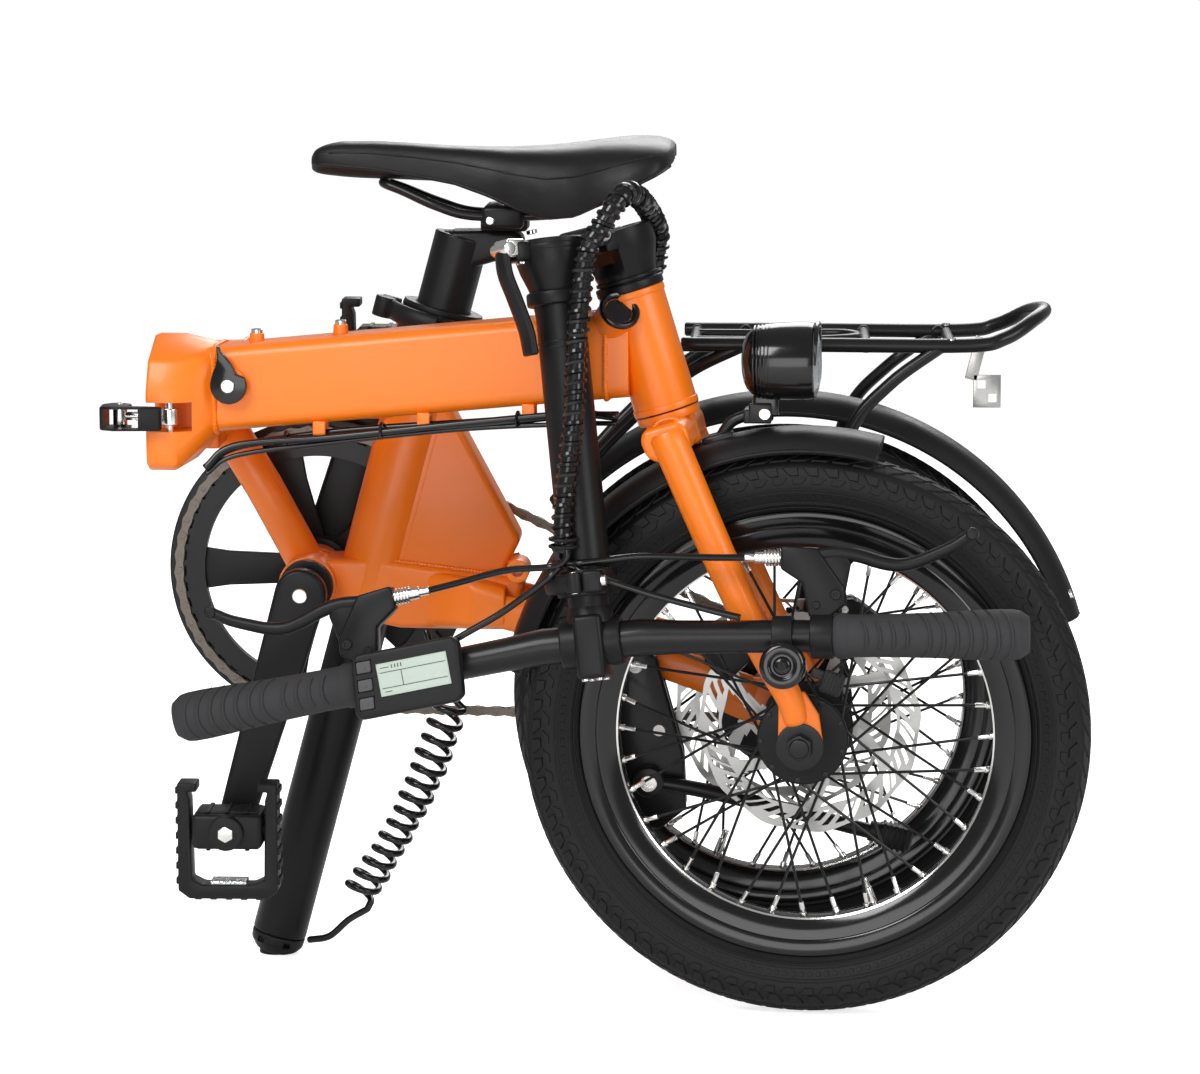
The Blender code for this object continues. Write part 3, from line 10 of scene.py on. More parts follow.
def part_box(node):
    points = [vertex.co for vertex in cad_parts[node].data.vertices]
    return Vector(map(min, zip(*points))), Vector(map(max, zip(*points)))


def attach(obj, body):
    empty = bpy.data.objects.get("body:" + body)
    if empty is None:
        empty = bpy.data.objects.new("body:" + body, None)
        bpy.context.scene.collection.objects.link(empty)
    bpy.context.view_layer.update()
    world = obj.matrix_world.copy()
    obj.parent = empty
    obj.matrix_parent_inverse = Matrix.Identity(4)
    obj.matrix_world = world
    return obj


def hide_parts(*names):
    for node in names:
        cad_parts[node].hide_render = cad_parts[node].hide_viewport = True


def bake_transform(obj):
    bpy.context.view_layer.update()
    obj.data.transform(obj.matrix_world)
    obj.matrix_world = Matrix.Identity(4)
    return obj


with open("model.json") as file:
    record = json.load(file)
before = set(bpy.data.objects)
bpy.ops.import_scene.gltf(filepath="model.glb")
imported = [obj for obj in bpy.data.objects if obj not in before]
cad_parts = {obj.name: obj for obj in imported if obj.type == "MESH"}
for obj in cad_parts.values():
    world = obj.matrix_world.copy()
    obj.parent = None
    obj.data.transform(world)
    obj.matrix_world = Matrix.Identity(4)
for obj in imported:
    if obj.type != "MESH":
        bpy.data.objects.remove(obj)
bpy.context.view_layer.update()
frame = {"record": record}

RECORD = frame["record"]
MM = 0.001
X, Y, Z = Vector((1, 0, 0)), Vector((0, 1, 0)), Vector((0, 0, 1))

# ---- layout, millimetres, in the unfolded layout with the rear axle above the origin ----
TYRE_R, AXLE_Z, WHEELBASE = 200.0, 200.0, 901.0
BB_X, BB_Z, CHAIN_Y, CRANK_LEN = -349.0, 283.0, 45.0, 170.0
CRANK_LEAN = math.radians(16.5)
POST_LEAN = math.radians(15.0)
POST_FOOT_X = -380.2
HINGE_X, HINGE_Y = -440.0, -57.0
STEER_LEAN = math.radians(17.0)
STEER_PT = Vector((-789.6, 0.0, 469.6))
STEM_T, BAR_T, BAR_HALF = 86.2, 364.0, 291.0
RACK_Z, RACK_HALF = 463.6, 55.0
STEER_DIR = Vector((math.sin(STEER_LEAN), 0.0, math.cos(STEER_LEAN)))
STEER_FWD = Vector((-math.cos(STEER_LEAN), 0.0, math.sin(STEER_LEAN)))
POST_DIR = Vector((math.sin(POST_LEAN), 0.0, math.cos(POST_LEAN)))
POST_OUT = Vector((-math.cos(POST_LEAN), 0.0, math.sin(POST_LEAN)))
BOTTOM_BRACKET = Vector((BB_X, 0.0, BB_Z))
STEM_TOP = STEER_PT + STEER_DIR * STEM_T
STEM_AXIS = (STEER_FWD + Y).normalized()
STEM_SIDE = (Y - STEER_FWD).normalized()


def joint(name):
    return next(j for j in RECORD["behaviour"]["joints"] if j["name"] == name)


def folded_by(name):
    """Turn that carries the ride-ready layout of a folding half to its rest place."""
    j = joint(name)
    p = Vector(j["pos_m"])
    turn = Matrix.Rotation(-math.radians(j["range_deg"][1]), 4, Vector(j["axis"]))
    return Matrix.Translation(p) @ turn @ Matrix.Translation(-p)


def layout_frame():
    lo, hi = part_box("rear_axle")
    mid = (lo + hi) / 2
    return Matrix.Translation((mid.x, mid.y, 0.0)) @ Matrix.Scale(MM, 4)


REAR = layout_frame()
FRONT = folded_by("main_fold") @ REAR
POST = folded_by("handlepost_fold") @ FRONT
FRONT_BODIES = {"front_half", "fork", "front_wheel", "headlight", "frame_latch_bolt", "frame_latch_lever",
                "port_cover"}
POST_BODIES = {"handlepost", "stem_latch", "post_lever", "inner_post", "handlebar", "brake_left",
               "brake_right", "key_up", "key_mode", "key_down", "bell_lever"}

# ---------------------------------------------------------------- finishes
_mats = {}


def node_of(tree, kind, **inputs):
    n = tree.nodes.new(kind)
    for k, v in inputs.items():
        n.inputs[k.replace("_", " ")].default_value = v
    return n


def finish(name, rgb, rough, metal=0.0, grain=600.0, bump=0.05, spread=0.12, tint=0.12, coat=0.0, cells=0.0,
           brushed=0.0, transmission=0.0):
    """A Principled finish with two scales of noise in colour, roughness and relief."""
    m = bpy.data.materials.new(name)
    m.use_nodes = True
    t = m.node_tree
    b = next(n for n in t.nodes if n.type == "BSDF_PRINCIPLED")
    b.inputs["Metallic"].default_value = metal
    if max(rgb) < 0.05:
        b.inputs["Specular IOR Level"].default_value = 0.22
    b.inputs["Coat Weight"].default_value = coat
    b.inputs["Coat Roughness"].default_value = 0.12
    b.inputs["Transmission Weight"].default_value = transmission
    where = node_of(t, "ShaderNodeTexCoord")
    scale = node_of(t, "ShaderNodeMapping")
    scale.inputs["Scale"].default_value = (1, 1, 1) if not brushed else (1, 1, brushed)
    t.links.new(where.outputs["Object"], scale.inputs["Vector"])
    wide = node_of(t, "ShaderNodeTexNoise", Scale=14.0, Detail=5.0, Roughness=0.6)
    fine = node_of(t, "ShaderNodeTexNoise", Scale=grain, Detail=3.0, Roughness=0.55)
    for n in (wide, fine):
        t.links.new(scale.outputs["Vector"], n.inputs["Vector"])
    height = fine.outputs["Fac"]
    if cells:
        cell = node_of(t, "ShaderNodeTexVoronoi", Scale=cells)
        cell.feature = "DISTANCE_TO_EDGE"
        t.links.new(where.outputs["Object"], cell.inputs["Vector"])
        ramp = node_of(t, "ShaderNodeMapRange", From_Max=0.12)
        t.links.new(cell.outputs["Distance"], ramp.inputs["Value"])
        add = node_of(t, "ShaderNodeMath")
        add.operation = "ADD"
        t.links.new(ramp.outputs["Result"], add.inputs[0])
        t.links.new(fine.outputs["Fac"], add.inputs[1])
        height = add.outputs[0]
    shade = node_of(t, "ShaderNodeMapRange", To_Min=1.0 - tint, To_Max=1.0 + tint)
    t.links.new(wide.outputs["Fac"], shade.inputs["Value"])
    mix = node_of(t, "ShaderNodeVectorMath")
    mix.operation = "SCALE"
    mix.inputs[0].default_value = rgb
    t.links.new(shade.outputs["Result"], mix.inputs["Scale"])
    t.links.new(mix.outputs["Vector"], b.inputs["Base Color"])
    r = node_of(t, "ShaderNodeMapRange", To_Min=max(0.03, rough - spread), To_Max=min(1.0, rough + spread))
    t.links.new(wide.outputs["Fac"], r.inputs["Value"])
    t.links.new(r.outputs["Result"], b.inputs["Roughness"])
    bp = node_of(t, "ShaderNodeBump", Strength=bump, Distance=0.0006)
    t.links.new(height, bp.inputs["Height"])
    t.links.new(bp.outputs["Normal"], b.inputs["Normal"])
    _mats[name] = m
    return m


def make_finishes():
    finish("orange_paint", (0.84, 0.175, 0.0005), 0.4, grain=900, bump=0.05, tint=0.05, coat=0.12)
    finish("black_paint", (0.007, 0.007, 0.0075), 0.36, grain=800, bump=0.08, coat=0.15)
    finish("black_gloss", (0.005, 0.005, 0.0055), 0.16, grain=700, bump=0.02, coat=0.5)
    finish("black_anodised", (0.012, 0.012, 0.013), 0.36, metal=0.35, grain=1400, bump=0.10)
    finish("black_plastic", (0.009, 0.009, 0.0095), 0.42, grain=1800, bump=0.2)
    finish("tyre_rubber", (0.009, 0.009, 0.0095), 0.52, grain=900, bump=0.3, tint=0.25, spread=0.16)
    finish("grip_rubber", (0.035, 0.035, 0.037), 0.72, grain=1500, bump=0.35, tint=0.15)
    finish("saddle_cover", (0.009, 0.009, 0.0095), 0.36, grain=1400, bump=0.14, cells=900.0, tint=0.1)
    finish("steel", (0.42, 0.415, 0.405), 0.3, metal=1.0, grain=300, bump=0.08, brushed=0.08)
    finish("bright_steel", (0.8, 0.79, 0.77), 0.2, metal=1.0, grain=500, bump=0.04)
    finish("chain_steel", (0.135, 0.118, 0.10), 0.36, metal=0.9, grain=700, bump=0.2, tint=0.3)
    finish("lens", (0.80, 0.83, 0.86), 0.08, grain=200, bump=0.05, transmission=0.75)
    finish("reflector", (0.72, 0.74, 0.76), 0.15, metal=0.9, cells=260.0, bump=0.4)
    finish("lcd", (0.36, 0.43, 0.37), 0.25, grain=900, bump=0.02, tint=0.06, coat=0.6)
    finish("lcd_ink", (0.03, 0.04, 0.035), 0.4, grain=900, bump=0.02)
    finish("key_grey", (0.06, 0.06, 0.063), 0.6, grain=1200, bump=0.2)
    finish("cable_black", (0.006, 0.006, 0.0065), 0.22, grain=900, bump=0.06, coat=0.4)


# ---------------------------------------------------------------- mesh helpers
def link(bm, name):
    mesh = bpy.data.meshes.new(name)
    bm.to_mesh(mesh)
    bm.free()
    o = bpy.data.objects.new(name, mesh)
    bpy.context.scene.collection.objects.link(o)
    return o


def raw(bm, name="piece"):
    bmesh.ops.recalc_face_normals(bm, faces=bm.faces[:])
    return link(bm, name)


def join(*objs):
    """One mesh holding all the given shells."""
    bm = bmesh.new()
    for o in objs:
        bm.from_mesh(o.data)
        bpy.data.objects.remove(o, do_unlink=True)
    return link(bm, "joined")


def skin(bm, rings, loop=False):
    """Faces between neighbouring rings of equal count; without loop the two ends are closed."""
    for a, b in zip(rings, rings[1:] + ([rings[0]] if loop else [])):
        for k in range(len(a)):
            j = (k + 1) % len(a)
            bm.faces.new((a[k], a[j], b[j], b[k]))
    if not loop:
        bm.faces.new(rings[0])
        bm.faces.new(rings[-1])


def turns(count):
    """Evenly spaced angles round a circle."""
    return [2 * math.pi * k / count for k in range(count)]


def half_turn(centre, u, v, r, steps):
    """Points round the half circle that bulges toward u."""
    angles = [math.pi * (k / steps - 0.5) for k in range(steps + 1)]
    return [centre + u * r * math.cos(a) + v * r * math.sin(a) for a in angles]


def bake(o):
    bpy.context.view_layer.update()
    mesh = bpy.data.meshes.new_from_object(o.evaluated_get(bpy.context.evaluated_depsgraph_get()))
    o.modifiers.clear()
    o.data = mesh
    return o


def cut(base, *others):
    """Takes the others out of base."""
    for other in others:
        m = base.modifiers.new("cut", "BOOLEAN")
        m.operation, m.solver, m.object = "DIFFERENCE", "MANIFOLD", other
        bake(base)
        bpy.data.objects.remove(other, do_unlink=True)
    return base


def soften(o, width, segments=3, angle=35):
    """Rounds every edge sharper than angle."""
    m = o.modifiers.new("edge", "BEVEL")
    m.width, m.segments, m.limit_method, m.angle_limit = width, segments, "ANGLE", math.radians(angle)
    m.harden_normals = False
    return bake(o)


def frame_of(point, axis, side=None):
    z = Vector(axis).normalized()
    s = Vector(side) if side is not None else (Z if abs(z.z) < 0.9 else X)
    x = (s - z * s.dot(z)).normalized()
    m = Matrix((x, z.cross(x), z)).transposed().to_4x4()
    m.translation = Vector(point)
    return m


def lathe(profile, point, axis, segs=48):
    bm = bmesh.new()
    rings = []
    for r, h in profile:
        if r < 1e-6:
            rings.append([bm.verts.new((0, 0, h))])
        else:
            rings.append([bm.verts.new((r * math.cos(a), r * math.sin(a), h)) for a in turns(segs)])
    closed = all(len(r) > 1 for r in rings)
    for a, b in list(zip(rings, rings[1:])) + ([(rings[-1], rings[0])] if closed else []):
        for i in range(segs):
            j = (i + 1) % segs
            if len(a) == 1:
                bm.faces.new((a[0], b[i], b[j]))
            elif len(b) == 1:
                bm.faces.new((a[i], a[j], b[0]))
            else:
                bm.faces.new((a[i], a[j], b[j], b[i]))
    bmesh.ops.transform(bm, matrix=frame_of(point, axis), verts=bm.verts[:])
    return raw(bm)


def rounded(profile, r, steps=3):
    """Rounds the corners of a (radius, height) profile; corners on the axis stay."""
    out = []
    n = len(profile)
    for i, p in enumerate(profile):
        p = Vector(p)
        if p.x < 1e-6:
            out.append(tuple(p))
            continue
        a, b = Vector(profile[i - 1]) - p, Vector(profile[(i + 1) % n]) - p
        k = min(r, a.length * 0.45, b.length * 0.45)
        if k < 1e-4:
            out.append(tuple(p))
            continue
        p0, p1 = p + a.normalized() * k, p + b.normalized() * k
        for s in range(steps + 1):
            t = s / steps
            q = p0 * (1 - t) ** 2 + p * 2 * t * (1 - t) + p1 * t * t
            out.append(tuple(q))
    return out


def turned(profile, edge, point, axis, segs=48):
    """A lathed solid with its corners rounded by edge."""
    return lathe(rounded(profile, edge), point, axis, segs)


def collar(r0, r1, h0, h1, edge, point, axis, segs=48):
    """A ring of rectangular section from radius r0 to r1 and height h0 to h1."""
    return turned([(r0, h0), (r0, h1), (r1, h1), (r1, h0)], edge, point, axis, segs)


def disc(r, h0, h1, edge, point, axis, segs):
    """A solid round slice from height h0 to h1."""
    return turned([(0, h0), (r, h0), (r, h1), (0, h1)], edge, point, axis, segs)


def rod(a, b, r, segs=32, r2=None, edge=0.6):
    a, b = Vector(a), Vector(b)
    length = (b - a).length
    prof = [(0, 0), (r, 0), (r if r2 is None else r2, length), (0, length)]
    return lathe(rounded(prof, min(edge, r * 0.3, length * 0.3)), a, b - a, segs)


def sleeve(a, b, r_out, r_in, segs=40, edge=0.6):
    a, b = Vector(a), Vector(b)
    n = (b - a).length
    return collar(r_out, r_in, 0, n, edge, a, b - a, segs)


def spline(a, b, c, d, t):
    """Catmull-Rom between b and c."""
    return 0.5 * (2 * b + (c - a) * t + (2 * a - 5 * b + 4 * c - d) * t * t
                  + (3 * b - a - 3 * c + d) * t ** 3)


def smooth_path(points, steps=10):
    p = [Vector(q) for q in points]
    p = [2 * p[0] - p[1]] + p + [2 * p[-1] - p[-2]]
    out = []
    for i in range(1, len(p) - 2):
        for k in range(steps):
            t = k / steps
            out.append(spline(*p[i - 1:i + 3], t))
    out.append(p[-2])
    return out


def tube(path, r, segs=16, loop=False, flat=1.0, side=None, cap=True):
    """A swept bar with domed ends. r is a number, or one per point."""
    p = [Vector(q) for q in path]
    n = len(p)
    radii = list(r) if isinstance(r, (list, tuple)) else [r] * n
    bm = bmesh.new()
    rings = []
    up = Vector(side) if side is not None else None
    for i in range(n):
        before, after = (p[i - 1], p[(i + 1) % n]) if loop else (p[max(i - 1, 0)], p[min(i + 1, n - 1)])
        t = (after - before).normalized()
        if up is None:
            up = Z if abs(t.z) < 0.8 else Y
        x = (up - t * up.dot(t)).normalized()
        if side is None:
            up = x
        y = t.cross(x)
        extra = []
        if not loop and cap and i == 0:
            extra = [(-0.28, 0.8), (0.0, 1.0)]
        elif not loop and cap and i == n - 1:
            extra = [(0.0, 1.0), (0.28, 0.8)]
        for shift, k in extra or [(0.0, 1.0)]:
            rr = radii[i] * k
            rings.append([bm.verts.new(p[i] + t * shift * radii[i] + x * rr * math.cos(a)
                                       + y * rr * flat * math.sin(a)) for a in turns(segs)])
    skin(bm, rings, loop)
    return raw(bm)


def bent(points, steps, r, segs, **shape):
    """A bar bent smoothly through the points."""
    return tube(smooth_path(points, steps), r, segs, **shape)


def xz_plate(outline, y0, y1):
    return loft([[(x, y, z) for x, z in outline] for y in (y0, y1)])


def block(size, centre, x_axis=X, z_axis=Z, edge=1.0, segs=3):
    bm = bmesh.new()
    bmesh.ops.create_cube(bm, size=1.0)
    bmesh.ops.transform(bm, matrix=Matrix.Diagonal((*size, 1.0)), verts=bm.verts[:])
    if edge:
        bmesh.ops.bevel(bm, geom=bm.edges[:], offset=min(edge, min(size) * 0.4), segments=segs,
                        affect="EDGES", profile=0.5)
    bmesh.ops.transform(bm, matrix=frame_of(centre, z_axis, x_axis), verts=bm.verts[:])
    return raw(bm)


def loft(sections):
    """A solid through matching closed outlines."""
    bm = bmesh.new()
    skin(bm, [[bm.verts.new(p) for p in ring] for ring in sections])
    return raw(bm)


def sweep_ring(profile, centre, a0, a1, steps):
    """A closed (radius, y) profile swept about a wheel's axle, angles in degrees."""
    rings = []
    for i in range(steps + 1):
        a = math.radians(a0 + (a1 - a0) * i / steps)
        rings.append([(centre[0] + r * math.cos(a), y, centre[1] + r * math.sin(a)) for r, y in profile])
    return loft(rings)


def round_rect(w, z0, z1, r, steps=6):
    """Points round a box section (y, z) with true round corners."""
    out = []
    for cy, cz, a0 in ((w - r, z0 + r, -90), (w - r, z1 - r, 0), (-w + r, z1 - r, 90), (-w + r, z0 + r, 180)):
        for k in range(steps + 1):
            a = math.radians(a0 + 90 * k / steps)
            out.append((cy + r * math.cos(a), cz + r * math.sin(a)))
    return out


def at_x(x, ring):
    return [(x, y, z) for y, z in ring]


def weld_bead(path, r=2.0, loop=True, pitch=2.4):
    """A rippled weld bead along a path."""
    p = [Vector(q) for q in path]
    dense = []
    for a, b in zip(p, p[1:] + ([p[0]] if loop else [])):
        k = max(1, int((b - a).length / (pitch / 4)))
        dense += [a.lerp(b, i / k) for i in range(k)]
    radii = [r * (0.82 + 0.22 * abs(math.sin(math.pi * i / 4))) for i in range(len(dense))]
    return tube(dense, radii, 8, loop=loop)


def bolt_head(point, axis, r=4.0, h=3.0):
    """A socket cap bolt with a hexagonal recess."""
    bm, made = bmesh.new(), []
    rings = [(r, 0, False), (r, h - 0.5, False), (r - 0.5, h, False), (r * 0.56, h, True),
             (r * 0.56, h * 0.45, True)]
    for radius, z, hexagon in rings:
        ring = []
        for a in turns(24):
            k = math.cos(math.pi / 6) / math.cos((a % (math.pi / 3)) - math.pi / 6) if hexagon else 1.0
            ring.append(bm.verts.new((radius * k * math.cos(a), radius * k * math.sin(a), z)))
        made.append(ring)
    skin(bm, made)
    bmesh.ops.transform(bm, matrix=frame_of(point, axis), verts=bm.verts[:])
    return raw(bm)


def placed(parts, name, mat, group=REAR, angle=50):
    """Joins parts into one named piece, moves it to its rest place and gives it its finish."""
    o = join(*parts) if isinstance(parts, (list, tuple)) else parts
    o.name = o.data.name = name
    o.data.transform(group)
    o.data.materials.clear()
    o.data.materials.append(_mats[mat])
    o.data.shade_smooth()
    o.data.set_sharp_from_angle(angle=math.radians(angle))
    return o


def put(parts, name, body, mat, *cad, angle=38):
    """Places a piece and ties it to its CAD body; cad names the plain parts it stands in for."""
    group = POST if body in POST_BODIES else FRONT if body in FRONT_BODIES else REAR
    o = placed(parts, name, mat, group, angle)
    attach(o, body)
    if cad:
        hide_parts(*cad)


def on_post(h, across=0.0, y=0.0):
    return Vector((POST_FOOT_X, 0.0, 0.0)) + POST_DIR * h + POST_OUT * across + Y * y


def on_steer(t, fwd=0.0, y=0.0):
    return STEER_PT + STEER_DIR * t + STEER_FWD * fwd + Y * y


def stem_plane(a, b, t):
    return STEER_PT + STEER_DIR * (STEM_T + t) + STEM_SIDE * a + STEM_AXIS * b


def bar_point(y, down=0.0, fwd=0.0):
    rise = 0.0 if abs(y) < 34 else (abs(y) - 34) * 0.093
    return on_steer(BAR_T + rise - down, fwd, y)


def bar_slab(outline, f0, f1, s=1):
    """A plate beside the handlebar: an outline of (along, below) points between two depths, mirrored by s."""
    return loft([[bar_point(s * y, d, f) for y, d in outline] for f in (f0, f1)])


# ---------------------------------------------------------------- wheels
def on_wheel(cx, r, a, y=0.0):
    """The point at radius r and angle a about the axle at cx."""
    return Vector((cx + r * math.cos(a), y, AXLE_Z + r * math.sin(a)))


def stud(bm, low, high):
    """A raised four-sided block."""
    skin(bm, [[bm.verts.new(p) for p in ring] for ring in (low, high)])


def tyre_skin(a, s, cx, lift):
    """A point on the tyre: a turns about the axle, s runs -1..1 across the tread, lift is height above it."""
    return on_wheel(cx, TREAD_R - 9.0 * abs(s) ** 2.6 + lift, a, 21.5 * s)


TREAD_R, TREAD_COUNT, KNURLS, SPOKES = 198.6, 84, 180, 36


def tread(cx):
    """Lozenge blocks in five rows with a groove each side of the centre, and shoulder bars."""
    bm = bmesh.new()
    rows = [(-0.78, -0.46, 0.8), (-0.42, -0.14, 0.4), (-0.11, 0.11, 0.0), (0.14, 0.42, -0.4),
            (0.46, 0.78, -0.8)]
    for i in range(TREAD_COUNT):
        for k, (s0, s1, skew) in enumerate(rows):
            pitch = 2 * math.pi / TREAD_COUNT
            a = pitch * (i + (0.5 if k % 2 else 0.0))
            half = pitch * 0.40
            sk = skew * pitch
            base = [(a - half - sk * 0.5, s0), (a + half - sk * 0.5, s0), (a + half + sk * 0.5, s1),
                    (a - half + sk * 0.5, s1)]
            mid = (s0 + s1) / 2
            stud(bm, [tyre_skin(b, s, cx, -1.0) for b, s in base],
                 [tyre_skin(a + (b - a) * 0.88, mid + (s - mid) * 0.88, cx, 1.15) for b, s in base])
    for i in range(TREAD_COUNT):
        a = 2 * math.pi * (i + 0.25) / TREAD_COUNT
        for side in (1, -1):
            for shift, r0, r1, lean in ((0.0, 190.6, 184.4, 0.016), (0.5, 183.6, 178.6, -0.012)):
                b0 = a + shift * 2 * math.pi / TREAD_COUNT
                corners = [(b0 - 0.029, r0), (b0 + 0.029, r0), (b0 + 0.018 + lean, r1),
                           (b0 - 0.018 + lean, r1)]
                shoulder_lug(bm, cx, side, corners)
    return raw(bm)


def shoulder_lug(bm, cx, side, corners):
    """A raised lozenge on the tyre's shoulder."""
    def wall(r):
        return 22.75 - 0.0135 * max(0.0, r - 181.0) ** 2

    def point(a, r, lift):
        return on_wheel(cx, r + lift * 0.4, a, side * (wall(r) + lift))
    mid_a = sum(c[0] for c in corners) / 4
    mid_r = sum(c[1] for c in corners) / 4
    stud(bm, [point(a, r, -1.2) for a, r in corners],
         [point(mid_a + (a - mid_a) * 0.86, mid_r + (r - mid_r) * 0.84, 0.95) for a, r in corners])


def tyre(cx):
    half = [(153.0, 10.4), (158.0, 11.0), (160.5, 15.2), (163.5, 17.6), (164.6, 18.9), (166.2, 19.1),
            (167.4, 19.6), (172.0, 21.6), (177.0, 22.7), (181.0, 22.9), (185.0, 22.3), (189.0, 21.4),
            (191.5, 19.6), (194.3, 16.2), (196.4, 12.6), (197.8, 8.6), (198.4, 4.4), (198.6, 0.0)]
    prof = half + [(r, -y) for r, y in reversed(half[:-1])]
    body = lathe(prof, (cx, 0, AXLE_Z), Y, 128)
    bm = bmesh.new()
    for a in turns(KNURLS):
        for s in (1, -1):
            foot = [(a - 0.008, 168.2, 20.2), (a + 0.008, 168.2, 20.2), (a + 0.008, 170.8, 21.2),
                    (a - 0.008, 170.8, 21.2)]
            stud(bm, *[[on_wheel(cx, r, b, s * (y + lift)) for b, r, y in foot] for lift in (-0.8, 0.75)])
    ribs = [lathe([(r - 0.5, s * (y - 0.6)), (r - 0.25, s * (y + 0.45)), (r + 0.25, s * (y + 0.45)),
                   (r + 0.5, s * (y - 0.6))], (cx, 0, AXLE_Z), Y, 128)
            for r, y in ((162.2, 17.0), (166.0, 19.1), (173.2, 21.9), (175.4, 22.4)) for s in (1, -1)]
    return join(body, tread(cx), raw(bm), *ribs)


def rim(cx):
    half = [(132.0, 4.0), (132.6, 8.2), (136.0, 10.6), (142.5, 12.6), (146.5, 13.2), (147.3, 12.7),
            (148.1, 13.3), (154.0, 14.2), (157.0, 14.4), (158.2, 13.9), (158.4, 12.6), (157.6, 11.7),
            (152.6, 11.6), (151.0, 8.0)]
    prof = half + [(r, -y) for r, y in reversed(half)]
    return lathe(prof, (cx, 0, AXLE_Z), Y, 144)


# Painted highlight: thin bright steel rings at the rim's inner edge stand in for the glint of light along the
# glossy black rim; the rim has no such ring.
def rim_highlight_ring(cx):
    rings = [lathe([(132.0, s * 7.4), (132.9, s * 8.2), (133.0, s * 8.9), (131.8, s * 8.2)], (cx, 0, AXLE_Z),
                   Y, 144) for s in (1, -1)]
    return join(*rings)


def valve(cx):
    p = [on_wheel(cx, r, math.radians(248)) for r in (133, 119, 112)]
    return join(rod(p[0], p[1], 3.0, 16), rod(p[1], p[2], 2.4, 16))


def spoke_ends(cx, flange_r, flange_y, i):
    """Hub end and rim end of spoke i, crossing its neighbours."""
    s = 1 if i % 2 else -1
    k = i // 2
    lean = math.radians(46 if k % 2 else -46)
    rim_a = 2 * math.pi * i / SPOKES
    off = 1.6 if k % 2 else -1.6
    return on_wheel(cx, flange_r - 3.0, rim_a + lean, s * flange_y + off), on_wheel(cx, 131.5, rim_a, s * 3.2)


def spokes(cx, flange_r, flange_y):
    out = []
    for i in range(SPOKES):
        a, b = spoke_ends(cx, flange_r, flange_y, i)
        out.append(tube([a, b], 1.05, 8, cap=False))
        out.append(rod(a - Y * 1.4, a + Y * 1.4, 2.1, 10, edge=0.4))
    return join(*out)


def nipples(cx, flange_r, flange_y):
    out = []
    for i in range(SPOKES):
        a, b = spoke_ends(cx, flange_r, flange_y, i)
        d = (a - b).normalized()
        out.append(rod(b - d * 1.0, b + d * 3.0, 2.6, 10, edge=0.3))
        out.append(rod(b + d * 2.5, b + d * 11.0, 1.75, 8, edge=0.3))
    return join(*out)


def hub_shell(cx, flange_r, flange_y, shell_r, end_y):
    half = [(7.0, end_y), (10.5, end_y), (11.5, end_y - 1), (12.0, flange_y + 5), (17.0, flange_y + 3.2),
            (flange_r - 1.0, flange_y + 2.2), (flange_r, flange_y + 1.2), (flange_r, flange_y - 1.2),
            (flange_r - 1.0, flange_y - 2.2), (shell_r + 2, flange_y - 3.4), (shell_r, flange_y - 6),
            (shell_r, flange_y * 0.35), (shell_r - 1.2, flange_y * 0.32), (shell_r - 1.2, 1.0)]
    prof = half + [(r, -y) for r, y in reversed(half)]
    return lathe(prof, (cx, 0, AXLE_Z), Y, 64)


def wave_rotor(cx, y, inner, phase):
    """Brake disc with a scalloped edge, slanted slots in its friction ring and swept arms."""
    columns, t = 192, 0.9
    radii = [inner, inner + 9, 30.0, 36.0, 48.0, 57.0, 62.0, 64.6, 68.0, 71.6, 75.2, 80.0]

    def shear(r):
        swept = phase + 0.012 * max(0.0, min(r, 62.0) - 30.0)
        return swept + 0.017 * max(0.0, min(r, 75.2) - 64.6)

    def radius(j, c):
        a = 2 * math.pi * c / columns
        if j == len(radii) - 1:
            return 79.8 - 2.0 * (0.5 + 0.5 * math.cos(12 * a))
        if j == 6:
            return 62.5 - 1.6 * (0.5 + 0.5 * math.cos(12 * a + math.pi))
        return radii[j]

    def solid(j, c):
        if j < 2:
            return j == 0 or (c % 32) not in (14, 15, 16, 17)
        if j < 6:
            w = (6, 4, 3, 4)[j - 2]
            return min(c % 32, 32 - c % 32) < w
        if j in (7, 8, 9):
            whole, outer, inner_half = (1, 2, 3, 14, 15), (6, 7), (10, 11)
            k = c % 16
            return not (k in whole or (k in outer and j > 7) or (k in inner_half and j < 9))
        return True
    bm = bmesh.new()
    verts = {}

    def v(side, j, c):
        c %= columns
        if (side, j, c) not in verts:
            r = radius(j, c)
            a = 2 * math.pi * c / columns + shear(r)
            verts[side, j, c] = bm.verts.new(on_wheel(cx, r, a, y + side * t))
        return verts[side, j, c]
    cells = {(j, c) for j in range(len(radii) - 1) for c in range(columns) if solid(j, c)}
    for j, c in sorted(cells):
        for side in (-1, 1):
            bm.faces.new((v(side, j, c), v(side, j + 1, c), v(side, j + 1, c + 1), v(side, j, c + 1)))
        for near, p, q in (((j - 1, c), (j, c), (j, c + 1)), ((j + 1, c), (j + 1, c), (j + 1, c + 1)),
                           ((j, (c - 1) % columns), (j, c), (j + 1, c)),
                           ((j, (c + 1) % columns), (j, c + 1), (j + 1, c + 1))):
            if near not in cells:
                bm.faces.new((v(-1, *p), v(-1, *q), v(1, *q), v(1, *p)))
    return raw(bm)


def rotor_bolts(cx, y, r=21.0):
    out = []
    side = -1 if y < 0 else 1
    for i in range(6):
        a = math.radians(60 * i + 20)
        out.append(bolt_head(on_wheel(cx, r, a, y + side * 0.8), Y * side, 3.6, 2.2))
    return join(*out)


